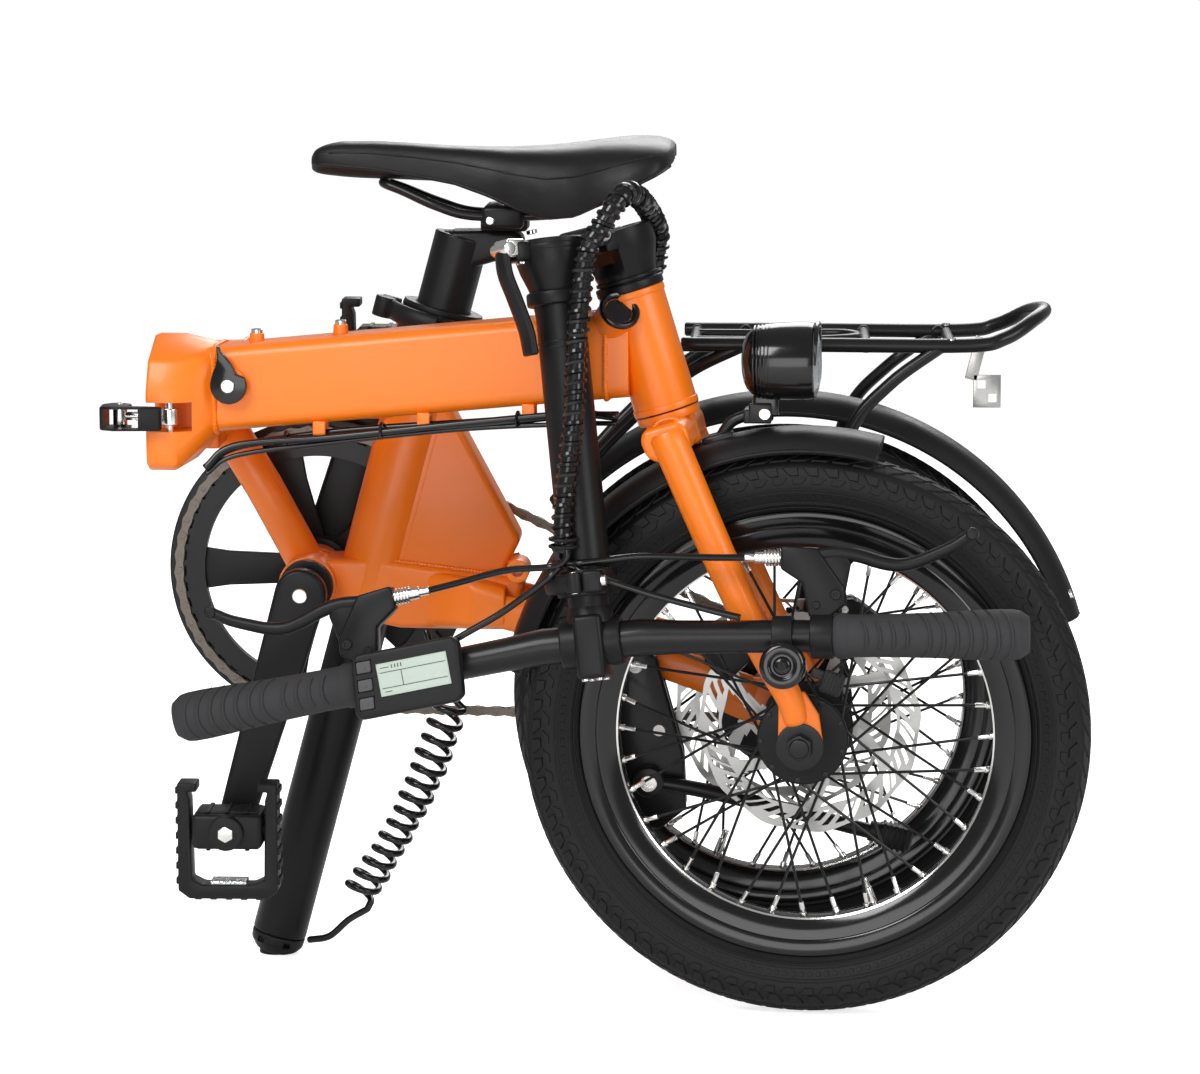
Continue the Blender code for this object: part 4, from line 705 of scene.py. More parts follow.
def wheel(cx, end, flange_r, flange_y, shell_r, end_y, rotor_y, rotor_hole, rotor_turn):
    body = f"{end}_wheel"
    put(tyre(cx), f"{end}_tyre_skin", body, "tyre_rubber", f"{end}_tyre", angle=28)
    put(rim(cx), f"{end}_rim_skin", body, "black_gloss", f"{end}_rim")
    # The bright steel rim ring is a painted highlight, not a part of the rim.
    put(rim_highlight_ring(cx), f"{end}_rim_highlight_ring", body, "bright_steel")
    put(hub_shell(cx, flange_r, flange_y, shell_r, end_y), f"{end}_hub_shell", body, "black_anodised",
        f"{end}_hub")
    put(spokes(cx, flange_r, flange_y), f"{end}_spokes", body, "black_paint")
    put(nipples(cx, flange_r, flange_y), f"{end}_nipples", body, "bright_steel")
    put(valve(cx), f"{end}_valve", body, "bright_steel")
    put(wave_rotor(cx, rotor_y, rotor_hole, rotor_turn), f"{end}_rotor_disc", body, "steel", f"{end}_rotor",
        angle=25)
    put(rotor_bolts(cx, rotor_y), f"{end}_rotor_bolts", body, "black_paint")


def axle_set(cx, drop_out, end, washer_r, name, body):
    bar = [rod((cx, -(end + 0.5), AXLE_Z), (cx, end + 0.5, AXLE_Z), 5.0, 28)]
    for s in (1, -1):
        bar.append(collar(5.2, washer_r, 0, 1.6, 0.4, (cx, s * (drop_out + 0.3), AXLE_Z), Y * s, 40))
        bar.append(collar(4.8, 9.6, 0, end - drop_out - 2.6, 0.6, (cx, s * (drop_out + 1.9), AXLE_Z), Y * s,
                          6))
        bar.append(turned([(0, 0), (7.6, 0), (6.4, 2.4), (0, 2.4)], 0.6, (cx, s * (end - 1.6), AXLE_Z), Y * s,
                          32))
    put(bar, f"{name}_hardware", body, "black_paint", name)


def caliper_set(centre, angle, rotor_y, name, body, w, h, y0, y1):
    """Two-piece mechanical caliper: body halves, bridge, piston cap and two bolts."""
    x = Vector((math.cos(angle), 0, math.sin(angle)))
    z = Vector((-math.sin(angle), 0, math.cos(angle)))
    c = Vector((centre[0], 0, centre[2]))

    def at(a, y, b):
        return c + x * a + z * b + Y * y
    halves = []
    for ya, yb in ((y0, rotor_y - 1.9), (rotor_y + 1.9, y1)):
        outline = [(-w / 2, -4), (-w / 2 + 5, -h / 2), (w / 2 - 5, -h / 2), (w / 2, -4), (w / 2, 8),
                   (w / 2 - 7, h / 2), (-w / 2 + 7, h / 2), (-w / 2, 8)]
        halves.append(soften(loft([[at(a, y, b) for a, b in outline] for y in (ya, yb)]), 1.4))
    arch = ((-12, 6.0), (12, 6.0), (9, h / 2 + 0.8), (-9, h / 2 + 0.8))
    bridge = soften(loft([[at(a, y, b) for a, b in arch] for y in (y0 + 2, y1 - 2)]), 0.8)
    put([*halves, bridge], f"{name}_body", body, "black_anodised", name)
    outer = at(0, y0, -1)
    cap = turned([(0, 0), (9.5, 0), (9.5, 2.2), (7.0, 3.4), (0, 3.4)], 0.5, outer + Y * 1.2, -Y, 32)
    bolts = [bolt_head(at(a, y0 + 0.6, 5), -Y, 3.2, 2.2) for a in (-13, 13)]
    put([*bolts, cap], f"{name}_bolts", body, "bright_steel")


# ---------------------------------------------------------------- rear half
def hinge_outline(z0, z1, half_y, crown):
    right = [(half_y - 8, z0), (half_y - 1, z0 + 4), (half_y, z0 + 12), (half_y, z1 - 38),
             (half_y - 9, z1 - 16), (crown, z1)]
    return right + [(-y * 0.88, z) for y, z in reversed(right)]


def twelve_box(half_y, z0, z1, r):
    c = r * 0.35
    right = [(half_y - r, z0), (half_y - c, z0 + c), (half_y, z0 + r), (half_y, z1 - r), (half_y - c, z1 - c),
             (half_y - r, z1)]
    return right + [(-y, z) for y, z in reversed(right)]


def hinge_casting(sign, face, box_ring, slot):
    """Forged hinge block with a softened rim and the pocket for the latch."""
    gap = sign * 0.35
    body = loft([at_x(HINGE_X + gap, face), at_x(HINGE_X + sign * 21, face),
                 at_x(HINGE_X + sign * 46, box_ring)])
    body = soften(body, 2.6, 4)
    return cut(body, block(*slot, edge=0))


def hinge_knuckle(z0, z1, toward):
    barrel = rod((HINGE_X, HINGE_Y, z0), (HINGE_X, HINGE_Y, z1), 9.5, 48, edge=1.0)
    arm = block((30, 46, z1 - z0 - 0.8), (HINGE_X + toward * 15.8, HINGE_Y + 23, (z0 + z1) / 2), edge=2.0)
    return join(barrel, arm)


def ring_around(centre, axis, r, side=None, steps=40, squeeze=1.0):
    m = frame_of(centre, axis, side)
    return [m @ Vector((r * math.cos(a), squeeze * r * math.sin(a), 0)) for a in turns(steps)]


def saddle_cut(centre, axis, r, host_point, host_axis, host_r, steps=48):
    """Where a tube meets a round host: points of the tube's wall carried along it to the host's surface."""
    d = Vector(axis).normalized()
    h = Vector(host_axis).normalized()
    out = []
    for p in ring_around(centre, axis, r, steps=steps):
        w = p - Vector(host_point)
        a = d - h * d.dot(h)
        b = w - h * w.dot(h)
        qa, qb, qc = a.dot(a), 2 * a.dot(b), b.dot(b) - host_r * host_r
        under_root = max(0.0, qb * qb - 4 * qa * qc)
        t = (-qb - math.sqrt(under_root)) / (2 * qa) if qa > 1e-9 else 0
        out.append(p + d * t)
    return out


def dropout_outline(left):
    pts = [(-44, 197), (-18, 186), (0, 183), (12, 187), (17, 200), (15, 216)]
    pts += [(34, 244), (30, 258), (16, 258), (2, 236)] if left else [(8, 234), (-4, 234)]
    return pts + [(-14, 222), (-44, 224)]


def rear_frame():
    face = hinge_outline(384, 459, 38, 10)
    parts = [hinge_casting(1, face, twelve_box(23, 403, 459, 8), ((44, 60, 27), (HINGE_X + 20, 38, 421))),
             hinge_knuckle(386, 404.6, 1), hinge_knuckle(441.4, 455, 1)]
    parts.append(loft([at_x(-398, round_rect(22.5, 403.5, 458.5, 8)),
                       at_x(-262, round_rect(22.5, 404, 459, 8))]))
    parts.append(sleeve(on_post(268), on_post(487), 25.0, 20.4, 72, 1.2))
    parts.append(tube([(-414, 0, 402), (-384, 0, 352), (BB_X - 2, 0, BB_Z + 8)], 14.0, 40))
    parts.append(sleeve((BB_X, -34, BB_Z), (BB_X, 34, BB_Z), 21.0, 17.2, 64, 0.8))
    gusset = xz_plate([(-292, 446), (-262, 445), (-193, 316), (-206, 290), (-300, 283)], -19.0, 19.0)
    parts.append(soften(gusset, 5.0, 5, 30))
    yoke = xz_plate([(-362, 300), (-300, 301.5), (-189, 287), (-201, 249), (-282, 250), (-352, 264)], -24.5,
                    24.5)
    parts.append(soften(yoke, 5.0, 5, 25))
    tail = loft([at_x(-262, twelve_box(24.2, 250.5, 293, 6)), at_x(-228, twelve_box(44, 253, 289, 6)),
                 at_x(-203, twelve_box(46, 254, 283, 6))])
    tail = soften(tail, 3.0, 3, 25)
    parts.append(cut(tail, rod((0, -30, AXLE_Z), (0, 30, AXLE_Z), TYRE_R + 7, 96, edge=0.01)))
    for s in (1, -1):
        path = smooth_path([(-215, s * 39, 268), (-150, s * 41.5, 251), (-80, s * 55, 230),
                            (-24, s * 60.5, 211)], 8)
        parts.append(tube(path, 12.5, 32, flat=0.5, side=Z))
        parts.append(soften(xz_plate(dropout_outline(s < 0), *sorted((s * 58.0, s * 64.0))), 1.2, 3, 15))
    parts.append(sleeve((-194, -44, 296), (-194, -15, 296), 8.5, 4.0, 40, 0.8))
    stand_bracket()
    parts += rear_welds()
    put(parts, "rear_frame_paint", "rear_half", "orange_paint", "rear_frame")
    cups = [collar(10.3, 19.5, 42, 33, 0.7, BOTTOM_BRACKET, Y * s, 48) for s in (1, -1)]
    put(cups, "bearing_cups", "rear_half", "black_anodised")


def stand_bracket():
    """The stand's two-plate bracket, bolted under the left chainstay."""
    mount = [(-124, 252), (-92, 240), (-72, 168), (-70, 128), (-90, 112), (-110, 116), (-122, 138)]
    plate = soften(xz_plate(mount, -76, -66), 2.4, 4, 15)
    inner = soften(xz_plate(mount, -58, -48.5), 2.4, 4, 15)
    spacers = [rod((x, -70, z), (x, -52, z), 6.0, 28) for x, z in ((-106, 230), (-97, 150), (-98, 126))]
    put([plate, inner, *spacers], "stand_bracket", "rear_half", "black_paint")
    bolts = [bolt_head((x, -75.4, z), -Y, 4.6, 2.6) for x, z in ((-107, 232), (-90, 186))]
    put(bolts, "stand_bracket_bolts", "rear_half", "steel")


def rear_welds():
    welds = [weld_bead(at_x(-341, round_rect(22.7, 403.5, 458.7, 8)), 1.9),
             weld_bead(at_x(-396, round_rect(22.9, 403.2, 459, 8)), 2.0),
             weld_bead(saddle_cut((BB_X, 0, BB_Z + 60), (BB_X - 2 + 384, 0, BB_Z + 8 - 352), 14.3,
                                  BOTTOM_BRACKET, Y, 21.0), 1.8)]
    for s in (1, -1):
        runs = (([(x, s * 15.5, z) for x, z in ((-215, 300), (-205, 298), (-196, 300))], 1.6),
                ([on_post(h, -19.5, s * 17.5) for h in (300, 340, 380, 420)], 1.7),
                ([(x, s * 19.5, z) for x, z in ((-300, 301), (-250, 295), (-196, 288))], 1.9),
                ([(-44 + 3 * math.cos(a), s * 61, 212 + 12 * math.sin(a))
                  for a in [math.pi * k / 6 + math.pi / 2 for k in range(7)]], 1.5))
        welds += [weld_bead(path, r, loop=False) for path, r in runs]
    return welds


def hinge_pin():
    heads = [disc(6.5, 0, 3.2, 0.8, (HINGE_X, HINGE_Y, z), Z * s, 32) for z, s in ((385.6, -1), (456.4, 1))]
    pin = rod((HINGE_X, HINGE_Y, 385.2), (HINGE_X, HINGE_Y, 456.8), 3.6, 24)
    put([pin, *heads], "hinge_pin_turned", "rear_half", "steel", "hinge_pin")


def seat_clamp():
    t = 487
    ring = turned([(29.5, -12), (29.5, 15), (20.5, 15), (20.5, 0.4), (25.4, 0.4), (25.4, -12)], 1.0,
                  on_post(t), POST_DIR, 72)
    ear = block((22, 7, 15), on_post(t + 4, 35, 9), POST_OUT, POST_DIR, 1.5)
    lip = collar(29.9, 28.0, 10.5, 13.5, 0.5, on_post(t), POST_DIR, 72)
    put([ring, ear, lip], "seat_clamp_ring", "rear_half", "black_anodised", "seat_collar")
    bolt = bolt_head(on_post(t + 4, 38, 12.5), Y, 4.2, 3.0)
    slit = block((1.6, 3, 26), on_post(t + 1, 29.2, 0), Y, POST_DIR, 0.3)
    put([bolt, slit], "seat_clamp_bolt", "rear_half", "bright_steel")
    t += 4
    eye = rod(on_post(t - 7.5, 42, -4), on_post(t + 7.5, 42, -4), 7.6, 40, edge=1.2)
    pts = [on_post(t, 41, -5)]
    for k in range(17):
        a = math.radians(18 + 114 * k / 16)
        pts.append(on_post(t, 35.5 * math.cos(a), -35.5 * math.sin(a)))
    blade = tube(pts, [4.2] * 14 + [3.8, 3.4, 3.0, 2.5], 24, flat=1.7, side=POST_DIR.cross(Y))
    put([eye, blade], "seat_cam_lever", "seat_lever", "black_plastic", "seat_lever")


def fender(cx, a0, a1, r_top, steps):
    """Mudguard of even thickness with rolled side edges and a raised rib along its crown."""
    n = 16
    outer = []
    for k in range(n + 1):
        y = -28 + 56 * k / n
        r = r_top - 14 * abs(y / 28) ** 3.3 - (0.7 if abs(y) > 3.6 else 0.0)
        outer.append((r, y))
    inner = [(r - 2.0, y * 0.955) for r, y in reversed(outer)]
    shell = sweep_ring(outer + inner, (cx, AXLE_Z), a0, a1, steps)
    angles = [math.radians(a0 + (a1 - a0) * k / steps) for k in range(steps + 1)]
    beads = [tube([on_wheel(cx, r_top - 14.6, a, s * 27.2) for a in angles], 1.5, 10) for s in (1, -1)]
    beads += [tube([on_wheel(cx, r - 1, math.radians(a), y) for r, y in outer], 1.25, 8) for a in (a0, a1)]
    return join(shell, *beads)


def fender_bolt(cx, angle, r, y):
    a = math.radians(angle)
    n = Vector((math.cos(a), 0, math.sin(a)))
    return bolt_head(Vector((cx, y, AXLE_Z)) + n * r, n, 3.4, 2.4)


def rear_fender():
    put(fender(0, 16, 140, 225.0, 72), "rear_mudguard", "rear_half", "black_plastic", "rear_fender", angle=50)
    bolts = [fender_bolt(0, a, 221.5, y) for a, y in ((20.5, 15), (20.5, -15), (24.5, 0), (96, 0), (120, 0))]
    put(bolts, "rear_mudguard_bolts", "rear_half", "bright_steel")


def rear_rack():
    z, w = RACK_Z, RACK_HALF
    loop = [(-74, w, z), (20, w, z), (128, w, z), (156, w * 0.96, z + 5), (178, w * 0.62, z + 17),
            (187, 0, z + 21), (178, -w * 0.62, z + 17), (156, -w * 0.96, z + 5), (128, -w, z), (20, -w, z),
            (-74, -w, z)]
    parts = [bent(loop, 10, 5.2, 24)]
    parts += [rod((x, -w, z - 1), (x, w, z - 1), 4.0, 24) for x in (-66, 57, 118)]
    parts.append(bent([(-66, 25, z), (0, 25, z), (40, 20, z + 1), (52, 0, z + 1), (40, -20, z + 1),
                       (0, -25, z), (-66, -25, z)], 8, 3.2, 18))
    bolts = []
    for s in (1, -1):
        parts.append(bent([(112, s * w, z), (74, s * 57, z - 28), (46, s * 62, z - 62), (30, s * 68, z - 130),
                           (10, s * 69.5, z - 225)], 8, 4.6, 20))
        parts.append(bent([(-30, s * w, z), (-72, s * 50, z - 22), (-118, s * 40, z - 62),
                           (-168, s * 29, z - 118)], 8, 4.6, 20))
        parts.append(block((16, 3.0, 22), (9, s * 69, z - 222), edge=1.2))
        bolts.append(bolt_head((9, s * 70.5, z - 226), Y * s, 4.2, 2.6))
        bolts.append(bolt_head((118, s * 55, z + 3.4), Z, 3.4, 2.0))
        for x in (112, -30, 57, -66):
            parts.append(weld_bead(ring_around((x, s * (w - 4.6), z - 1), Y, 4.2, steps=16), 1.1))
    parts.append(rod((122, -w, z - 1), (139, -8, z - 4), 2.6, 16))
    put(parts, "rack_tubes", "rear_half", "black_paint", "rear_rack")
    plate = block((20, 1.6, 24), (146, -8, z - 38), (1, 0, 0.1), Z, 0.4)
    holes = [block((6, 8, 6), (146 + dx, -8, z - 38 + dz), (1, 0, 0.1), Z, 0)
             for dx, dz in ((-4, 5), (4, -5))]
    strap = block((9, 1.6, 32), (138, -8, z - 14), (1, 0, -0.25), (0.25, 0, 1), 0.4)
    put([cut(plate, *holes), strap], "rack_bracket", "rear_half", "steel")
    put(bolts, "rack_bolts", "rear_half", "bright_steel")


def chain_path():
    """The loop the chain follows round the chainring and the sprocket."""
    grow = 4.3
    dx, dz = -BB_X, AXLE_Z - BB_Z
    d = math.hypot(dx, dz)
    base = math.atan2(dz, dx)
    r1, r2 = 100.5 + grow, 24.0 + grow
    tilt = math.acos((r1 - r2) / d)
    pts = []
    for k in range(121):
        a = base + tilt + (2 * math.pi - 2 * tilt) * k / 120
        pts.append(Vector((BB_X + r1 * math.cos(a), 0, BB_Z + r1 * math.sin(a))))
    for k in range(33):
        a = base - tilt + 2 * tilt * k / 32
        pts.append(Vector((r2 * math.cos(a), 0, AXLE_Z + r2 * math.sin(a))))
    return pts


def along(pts, count):
    """Evenly spaced points on a closed polyline."""
    lengths = [(b - a).length for a, b in zip(pts, pts[1:] + [pts[0]])]
    total = sum(lengths)
    out, i, passed = [], 0, 0.0
    for k in range(count):
        want = total * k / count
        while passed + lengths[i] < want:
            passed += lengths[i]
            i += 1
        t = (want - passed) / lengths[i]
        out.append(pts[i].lerp(pts[(i + 1) % len(pts)], t))
    return out


def chain():
    pins = along(chain_path(), 86)
    parts = []
    for i, p in enumerate(pins):
        q = pins[(i + 1) % len(pins)]
        d = (q - p).normalized()
        n = Vector((-d.z, 0, d.x))
        y = CHAIN_Y
        parts.append(rod(p + Y * (y - 3.9), p + Y * (y + 3.9), 1.8, 10, edge=0.3))
        parts.append(rod(p + Y * (y - 1.5), p + Y * (y + 1.5), 3.7, 14, edge=0.3))
        outline = []
        for c, s in ((p, -1), (q, 1)):
            outline += half_turn(c, d * s, n * s, 3.7, 6)
            outline.append((p + q) / 2 + n * s * 2.6)
        ya, yb = (1.7, 2.5) if i % 2 else (2.6, 3.5)
        for side in (1, -1):
            parts.append(loft([[v + Y * (y + side * face) for v in outline] for face in (ya, yb)]))
    put(parts, "roller_chain", "rear_half", "chain_steel", "chain", angle=30)


def coil_cable():
    a, b = Vector((-243, -42, 198)), Vector((-314, -36, 52))
    axis = (b - a).normalized()
    u = axis.cross(Y).normalized()
    v = axis.cross(u)
    coils, per_turn = 14, 20
    pts = smooth_path([Vector((-262, -30, 250)), Vector((-256, -35, 228)), Vector((-252, -41, 212))], 6)
    for k in range(coils * per_turn + 1):
        t = k / (coils * per_turn)
        w = 2 * math.pi * coils * t
        wobble = 1.0 + 0.10 * math.sin(7.3 * t) + 0.05 * math.sin(31 * t)
        bow = u * 7.0 * math.sin(math.pi * t)
        pts.append(a.lerp(b, t ** 0.96) + bow + (u * math.cos(w) + v * math.sin(w)) * 10.6 * wobble)
    pts += smooth_path([pts[-1] + axis * 6, Vector((-321, -30, 32)), Vector((-336, -24, 18)),
                        Vector((-352, -16, 13))], 8)
    o = placed(tube(pts, 2.6, 12), "coiled_lead", "cable_black")
    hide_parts("coil_cable")
    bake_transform(o)


def kickstand():
    pts = smooth_path([(-97, -84, 150), (-60, -84, 144), (0, -82, 130), (46, -80, 118), (74, -80, 111)], 8)
    leg = tube(pts, 5.5, 28)
    hub = rod((-97, -90, 150), (-97, -76.4, 150), 11, 48, edge=1.4)
    foot = [block((26, 15, 17), (80, -80, 110), (1, 0, -0.25), (0.25, 0, 1), 4.0, 4)]
    d = Vector((1, 0, -0.25)).normalized()
    foot += [block((2.2, 16.4, 18.4), Vector((80, -80, 110)) + d * k, (1, 0, -0.25), (0.25, 0, 1), 0.9)
             for k in (-8.5, -4.2, 0, 4.2, 8.5)]
    foot.append(sleeve((62, -80, 114.6), (70, -80, 112.6), 7.4, 5.5, 28, 0.8))
    put([leg, hub], "stand_leg", "kickstand", "black_paint", "kickstand_leg")
    put(foot, "stand_foot", "kickstand", "black_plastic")
    put(bolt_head((-97, -90, 150), -Y, 6.0, 3.4), "stand_bolt", "kickstand", "bright_steel")


# ---------------------------------------------------------------- seat post and saddle
def seatpost():
    post = rod(on_post(16), on_post(556), 20.0, 80, edge=1.6)
    neck = soften(xz_plate([(-252, 541), (-196, 541), (-190, 532), (-196, 521), (-250, 519)], -11.0, 11.0),
                  4.0, 4)
    forging = soften(xz_plate([(-246, 541.5), (-198, 542), (-190, 536), (-194, 524), (-236, 512)], -16.0,
                              16.0), 5.5, 5)
    cradle = block((34, 34, 10), (-205, 0, 546), edge=2.6)
    top = block((30, 60, 16), (-205, 0, 552), edge=3.0)
    grooves = [rod((-240, s * 22, 553), (-150, s * 22, 553), 4.9, 28) for s in (1, -1)]
    put([post, neck, forging, cradle, cut(top, *grooves)], "seatpost_tube", "seatpost", "black_anodised",
        "seatpost")
    bolts = [bolt_head((-205, s * 9, 560), Z, 4.0, 2.6) for s in (1, -1)]
    bolts += [bolt_head((-205 + 19 * k, 0, 541), (k * 0.2, 0, -1), 4.0, 3.0) for k in (1, -1)]
    bolts.append(rod((-214, -33, 550), (-214, 33, 550), 3.0, 20))
    put(bolts, "saddle_clamp_bolts", "seatpost", "bright_steel")
    foot = turned([(0, 1.6), (14, 1.6), (19.5, 8.5), (20, 15.6), (0, 15.6)], 1.5, on_post(0), POST_DIR, 64)
    foot = cut(foot, block((80, 80, 30), (POST_FOOT_X, 0, -14.95), edge=0))
    holes = [block((5, 60, 5), (POST_FOOT_X + 1.0 + x, 0, 10.5 - 0.27 * x), (1, 0, -0.27), (0.27, 0, 1), 0.6)
             for x in (-9.0, 10.0)]
    foot = cut(foot, *holes)
    sole = rod((POST_FOOT_X + 1.5, 0, 0.05), (POST_FOOT_X + 1.5, 0, 6), 12.5, 48)
    put([foot, sole], "post_foot_plug", "seatpost", "black_plastic", "seatpost_foot")


def saddle_rails():
    half = [(-292, 8, 575), (-278, 14, 570), (-254, 21, 560), (-228, 22, 553), (-182, 22, 553),
            (-160, 27, 556), (-138, 33, 563), (-122, 37, 570)]
    pts = [(x, -y, z) for x, y, z in reversed(half)] + [(x, y, z) for x, y, z in half]
    put(bent(pts, 8, 3.5, 20), "saddle_rail_bar", "seatpost", "black_paint", "saddle_rails")


SADDLE = [(-346, 6, 594, 590, 585), (-341, 12.5, 600.5, 590, 582), (-326, 17.5, 604.5, 589.5, 580),
          (-300, 20.5, 605.5, 587.5, 578.5), (-270, 22, 604.2, 583, 577.5), (-240, 25, 602.4, 577.5, 576.5),
          (-215, 31, 601.6, 569, 576), (-195, 40, 601.6, 560.5, 576), (-173, 50, 602.6, 554.0, 576),
          (-152, 59, 604.6, 556.5, 577), (-132, 68, 606.8, 566, 579.5), (-112, 72.5, 608.6, 577, 585),
          (-94, 69, 608.2, 586, 590), (-85, 58, 606, 591, 593.5), (-81, 40, 602.5, 595.0, 594.8)]


def crown_point(w, top, edge, share):
    """(y, z) on the crown: share runs 0 at the middle to 1 at the widest point."""
    a = math.pi / 2 * share
    return w * math.sin(a) ** 0.92, top - (top - edge) * (1 - math.cos(a) ** 1.15) ** 1.9


def saddle_section(x, w, top, edge, under, count=28):
    """Half-round crown, rolled side and tucked hem, from the crown down one side."""
    right = []
    for k in range(count + 1):
        y, z = crown_point(w, top, edge, k / count)
        dip = 1.6 * math.exp(-((y / 8.0) ** 2)) if -320 < x < -110 else 0.0
        right.append((y, z - dip))
    return right + [(w * 0.985, edge - 1.0), (w * 0.93, edge - 1.6), (w * 0.86, edge + 0.4),
                    (w * 0.55, under), (w * 0.25, under)]


def saddle_cushion():
    rings = []
    for i in range(len(SADDLE) - 1):
        a, b = SADDLE[i], SADDLE[i + 1]
        before, after = SADDLE[max(i - 1, 0)], SADDLE[min(i + 2, len(SADDLE) - 1)]
        steps = 5
        for k in range(steps + (1 if i == len(SADDLE) - 2 else 0)):
            t = k / steps
            vals = [spline(*four, t) for four in zip(before, a, b, after)]
            right = saddle_section(*vals)
            rings.append(at_x(vals[0], right + [(0, vals[4])] + [(-y, z) for y, z in reversed(right[1:])]))
    return loft(rings)


def saddle():
    """Padded cushion with a raised seam line along each side, over a plastic shell with a rolled rim."""
    cushion = saddle_cushion()
    s = cushion.modifiers.new("skin", "SUBSURF")
    s.levels = s.render_levels = 1
    bake(cushion)
    pad_cushion(cushion)
    put(cushion, "saddle_cushion", "seatpost", "saddle_cover", "saddle", angle=60)
    seams, rim = [], []
    for side in (1, -1):
        line = []
        for i in range(41):
            x = -332 + 236 * i / 40
            y, z = crown_point(*saddle_at(x)[1:4], 0.74)
            line.append((x, side * (y + 0.15), z + 0.25))
        seams.append(tube(line, 0.7, 8))
        line = []
        for i in range(49):
            vals = saddle_at(-341 + 257 * i / 48)
            line.append((vals[0], side * vals[1] * 0.95, vals[3] - 0.9))
        rim.append(tube(line, 1.5, 10))
    put(seams, "saddle_seams", "seatpost", "black_plastic")
    base = soften(loft([at_x(x, twelve_box(w * 0.62, u - 3.0, u + 2.0, 2.2))
                        for x, w, u in ((-336, 12, 585), (-300, 19, 583), (-250, 22, 581.5), (-215, 31, 580),
                                        (-180, 46, 579.5), (-140, 64, 582), (-112, 68, 586),
                                        (-98, 60, 590))]), 1.0, 2)
    put([base, *rim], "saddle_shell", "seatpost", "black_plastic")


def saddle_at(x):
    for a, b in zip(SADDLE, SADDLE[1:]):
        if a[0] <= x <= b[0]:
            t = (x - a[0]) / (b[0] - a[0])
            return [x] + [p * (1 - t) + q * t for p, q in zip(a[1:], b[1:])]
    return list(SADDLE[-1])


def pad_cushion(o):
    """Foam under a cover: every point of the surface is moved a little in or out along its normal by two
    scales of noise.
    """
    m = o.data
    for v in m.vertices:
        n = noise.noise(Vector(v.co) * 0.03) * 0.35 + noise.noise(Vector(v.co) * 0.11) * 0.12
        v.co += Vector(v.normal) * n


# ---------------------------------------------------------------- drive
def crank_dir(side):
    down = Vector((-math.sin(CRANK_LEAN), 0, -math.cos(CRANK_LEAN)))
    return down if side < 0 else -down


def pedal_centre(side):
    return BOTTOM_BRACKET + crank_dir(side) * CRANK_LEN


def crank_blade(d, y0, y1):
    n = Vector((-d.z, 0, d.x))
    pts = []
    for centre, r, s in ((BOTTOM_BRACKET, 18.8, -1), (BOTTOM_BRACKET + d * CRANK_LEN, 12.8, 1)):
        pts += half_turn(centre, d * s, n * s, r, 24)
    return soften(xz_plate([(p.x, p.z) for p in pts], y0, y1), 3.2, 4, 40)


def toothed_ring(cx, cz, y0, y1, r_in, r_root, r_tip, teeth, phase=0.0):
    """A flat ring with pointed teeth round its rim."""
    shape = [(0.0, r_root), (0.28, r_root), (0.44, r_tip), (0.56, r_tip), (0.72, r_root)]
    outer, inner = [], []
    for i in range(teeth):
        for t, r in shape:
            a = 2 * math.pi * (i + t) / teeth + phase
            outer.append((cx + r * math.cos(a), cz + r * math.sin(a)))
            inner.append((cx + r_in * math.cos(a), cz + r_in * math.sin(a)))
    bm = bmesh.new()
    rings = [[bm.verts.new((x, y, z)) for x, z in line]
             for line, y in ((inner, y0), (outer, y0), (outer, y1), (inner, y1))]
    skin(bm, rings, loop=True)
    return raw(bm)


def cranks():
    left = [crank_blade(crank_dir(-1), -80, -66),
            rod((BB_X, -66.5, BB_Z), (BB_X, -54, BB_Z), 15.0, 48, edge=1.2)]
    put(left, "crank_arm_left", "crank", "black_anodised", "crank_left")
    right = [crank_blade(crank_dir(1), 66, 80), rod((BB_X, -78, BB_Z), (BB_X, 67, BB_Z), 9.0, 32),
             rod((BB_X, 46, BB_Z), (BB_X, 67, BB_Z), 24.0, 56, edge=1.5)]
    tips = []
    for k in range(5):
        a = math.radians(36 + 72 * k)
        r = 84.0
        out, n = Vector((math.cos(a), 0, math.sin(a))), Vector((-math.sin(a), 0, math.cos(a)))
        pts = [out * 16 + n * 11, out * r * 0.8 + n * 13, out * (r + 4) + n * 16, out * (r + 4) - n * 16,
               out * r * 0.8 - n * 13, out * 16 - n * 11]
        right.append(soften(xz_plate([(BB_X + p.x, BB_Z + p.z) for p in pts], 47, 51.5), 1.0, 3, 20))
        tips.append(bolt_head(BOTTOM_BRACKET + Y * 51.2 + out * 80, Y, 4.4, 2.2))
    put(right, "crank_arm_right", "crank", "black_anodised", "crank_right")
    for s in (1, -1):
        tips.append(bolt_head((BB_X, s * 79.6, BB_Z), Y * s, 5.4, 2.6))
        c = pedal_centre(s)
        tips.append(rod((c.x, s * 64.8, c.z), (c.x, s * 66.4, c.z), 5.2, 24))
    put(tips, "crank_bolts", "crank", "bright_steel")
    teeth = toothed_ring(BB_X, BB_Z, 43.9, 46.2, 85.5, 99.5, 106.5, 52, 0.02)
    guard = collar(85.5, 112.8, 50.4, 52.6, 0.7, BOTTOM_BRACKET, Y, 128)
    web = collar(85.5, 94, 46.0, 50.6, 0.5, BOTTOM_BRACKET, Y, 96)
    put([teeth, guard, web], "chainring_plates", "crank", "black_paint", "chainring")
    cog = join(toothed_ring(0, AXLE_Z, 43.9, 46.2, 6.8, 22.8, 29.5, 14),
               turned([(19, 46), (19, 52), (6.8, 52), (6.8, 41), (19, 41)], 0.6, (0, 0, AXLE_Z), Y, 48))
    put(cog, "sprocket_teeth", "sprocket", "steel", "sprocket")


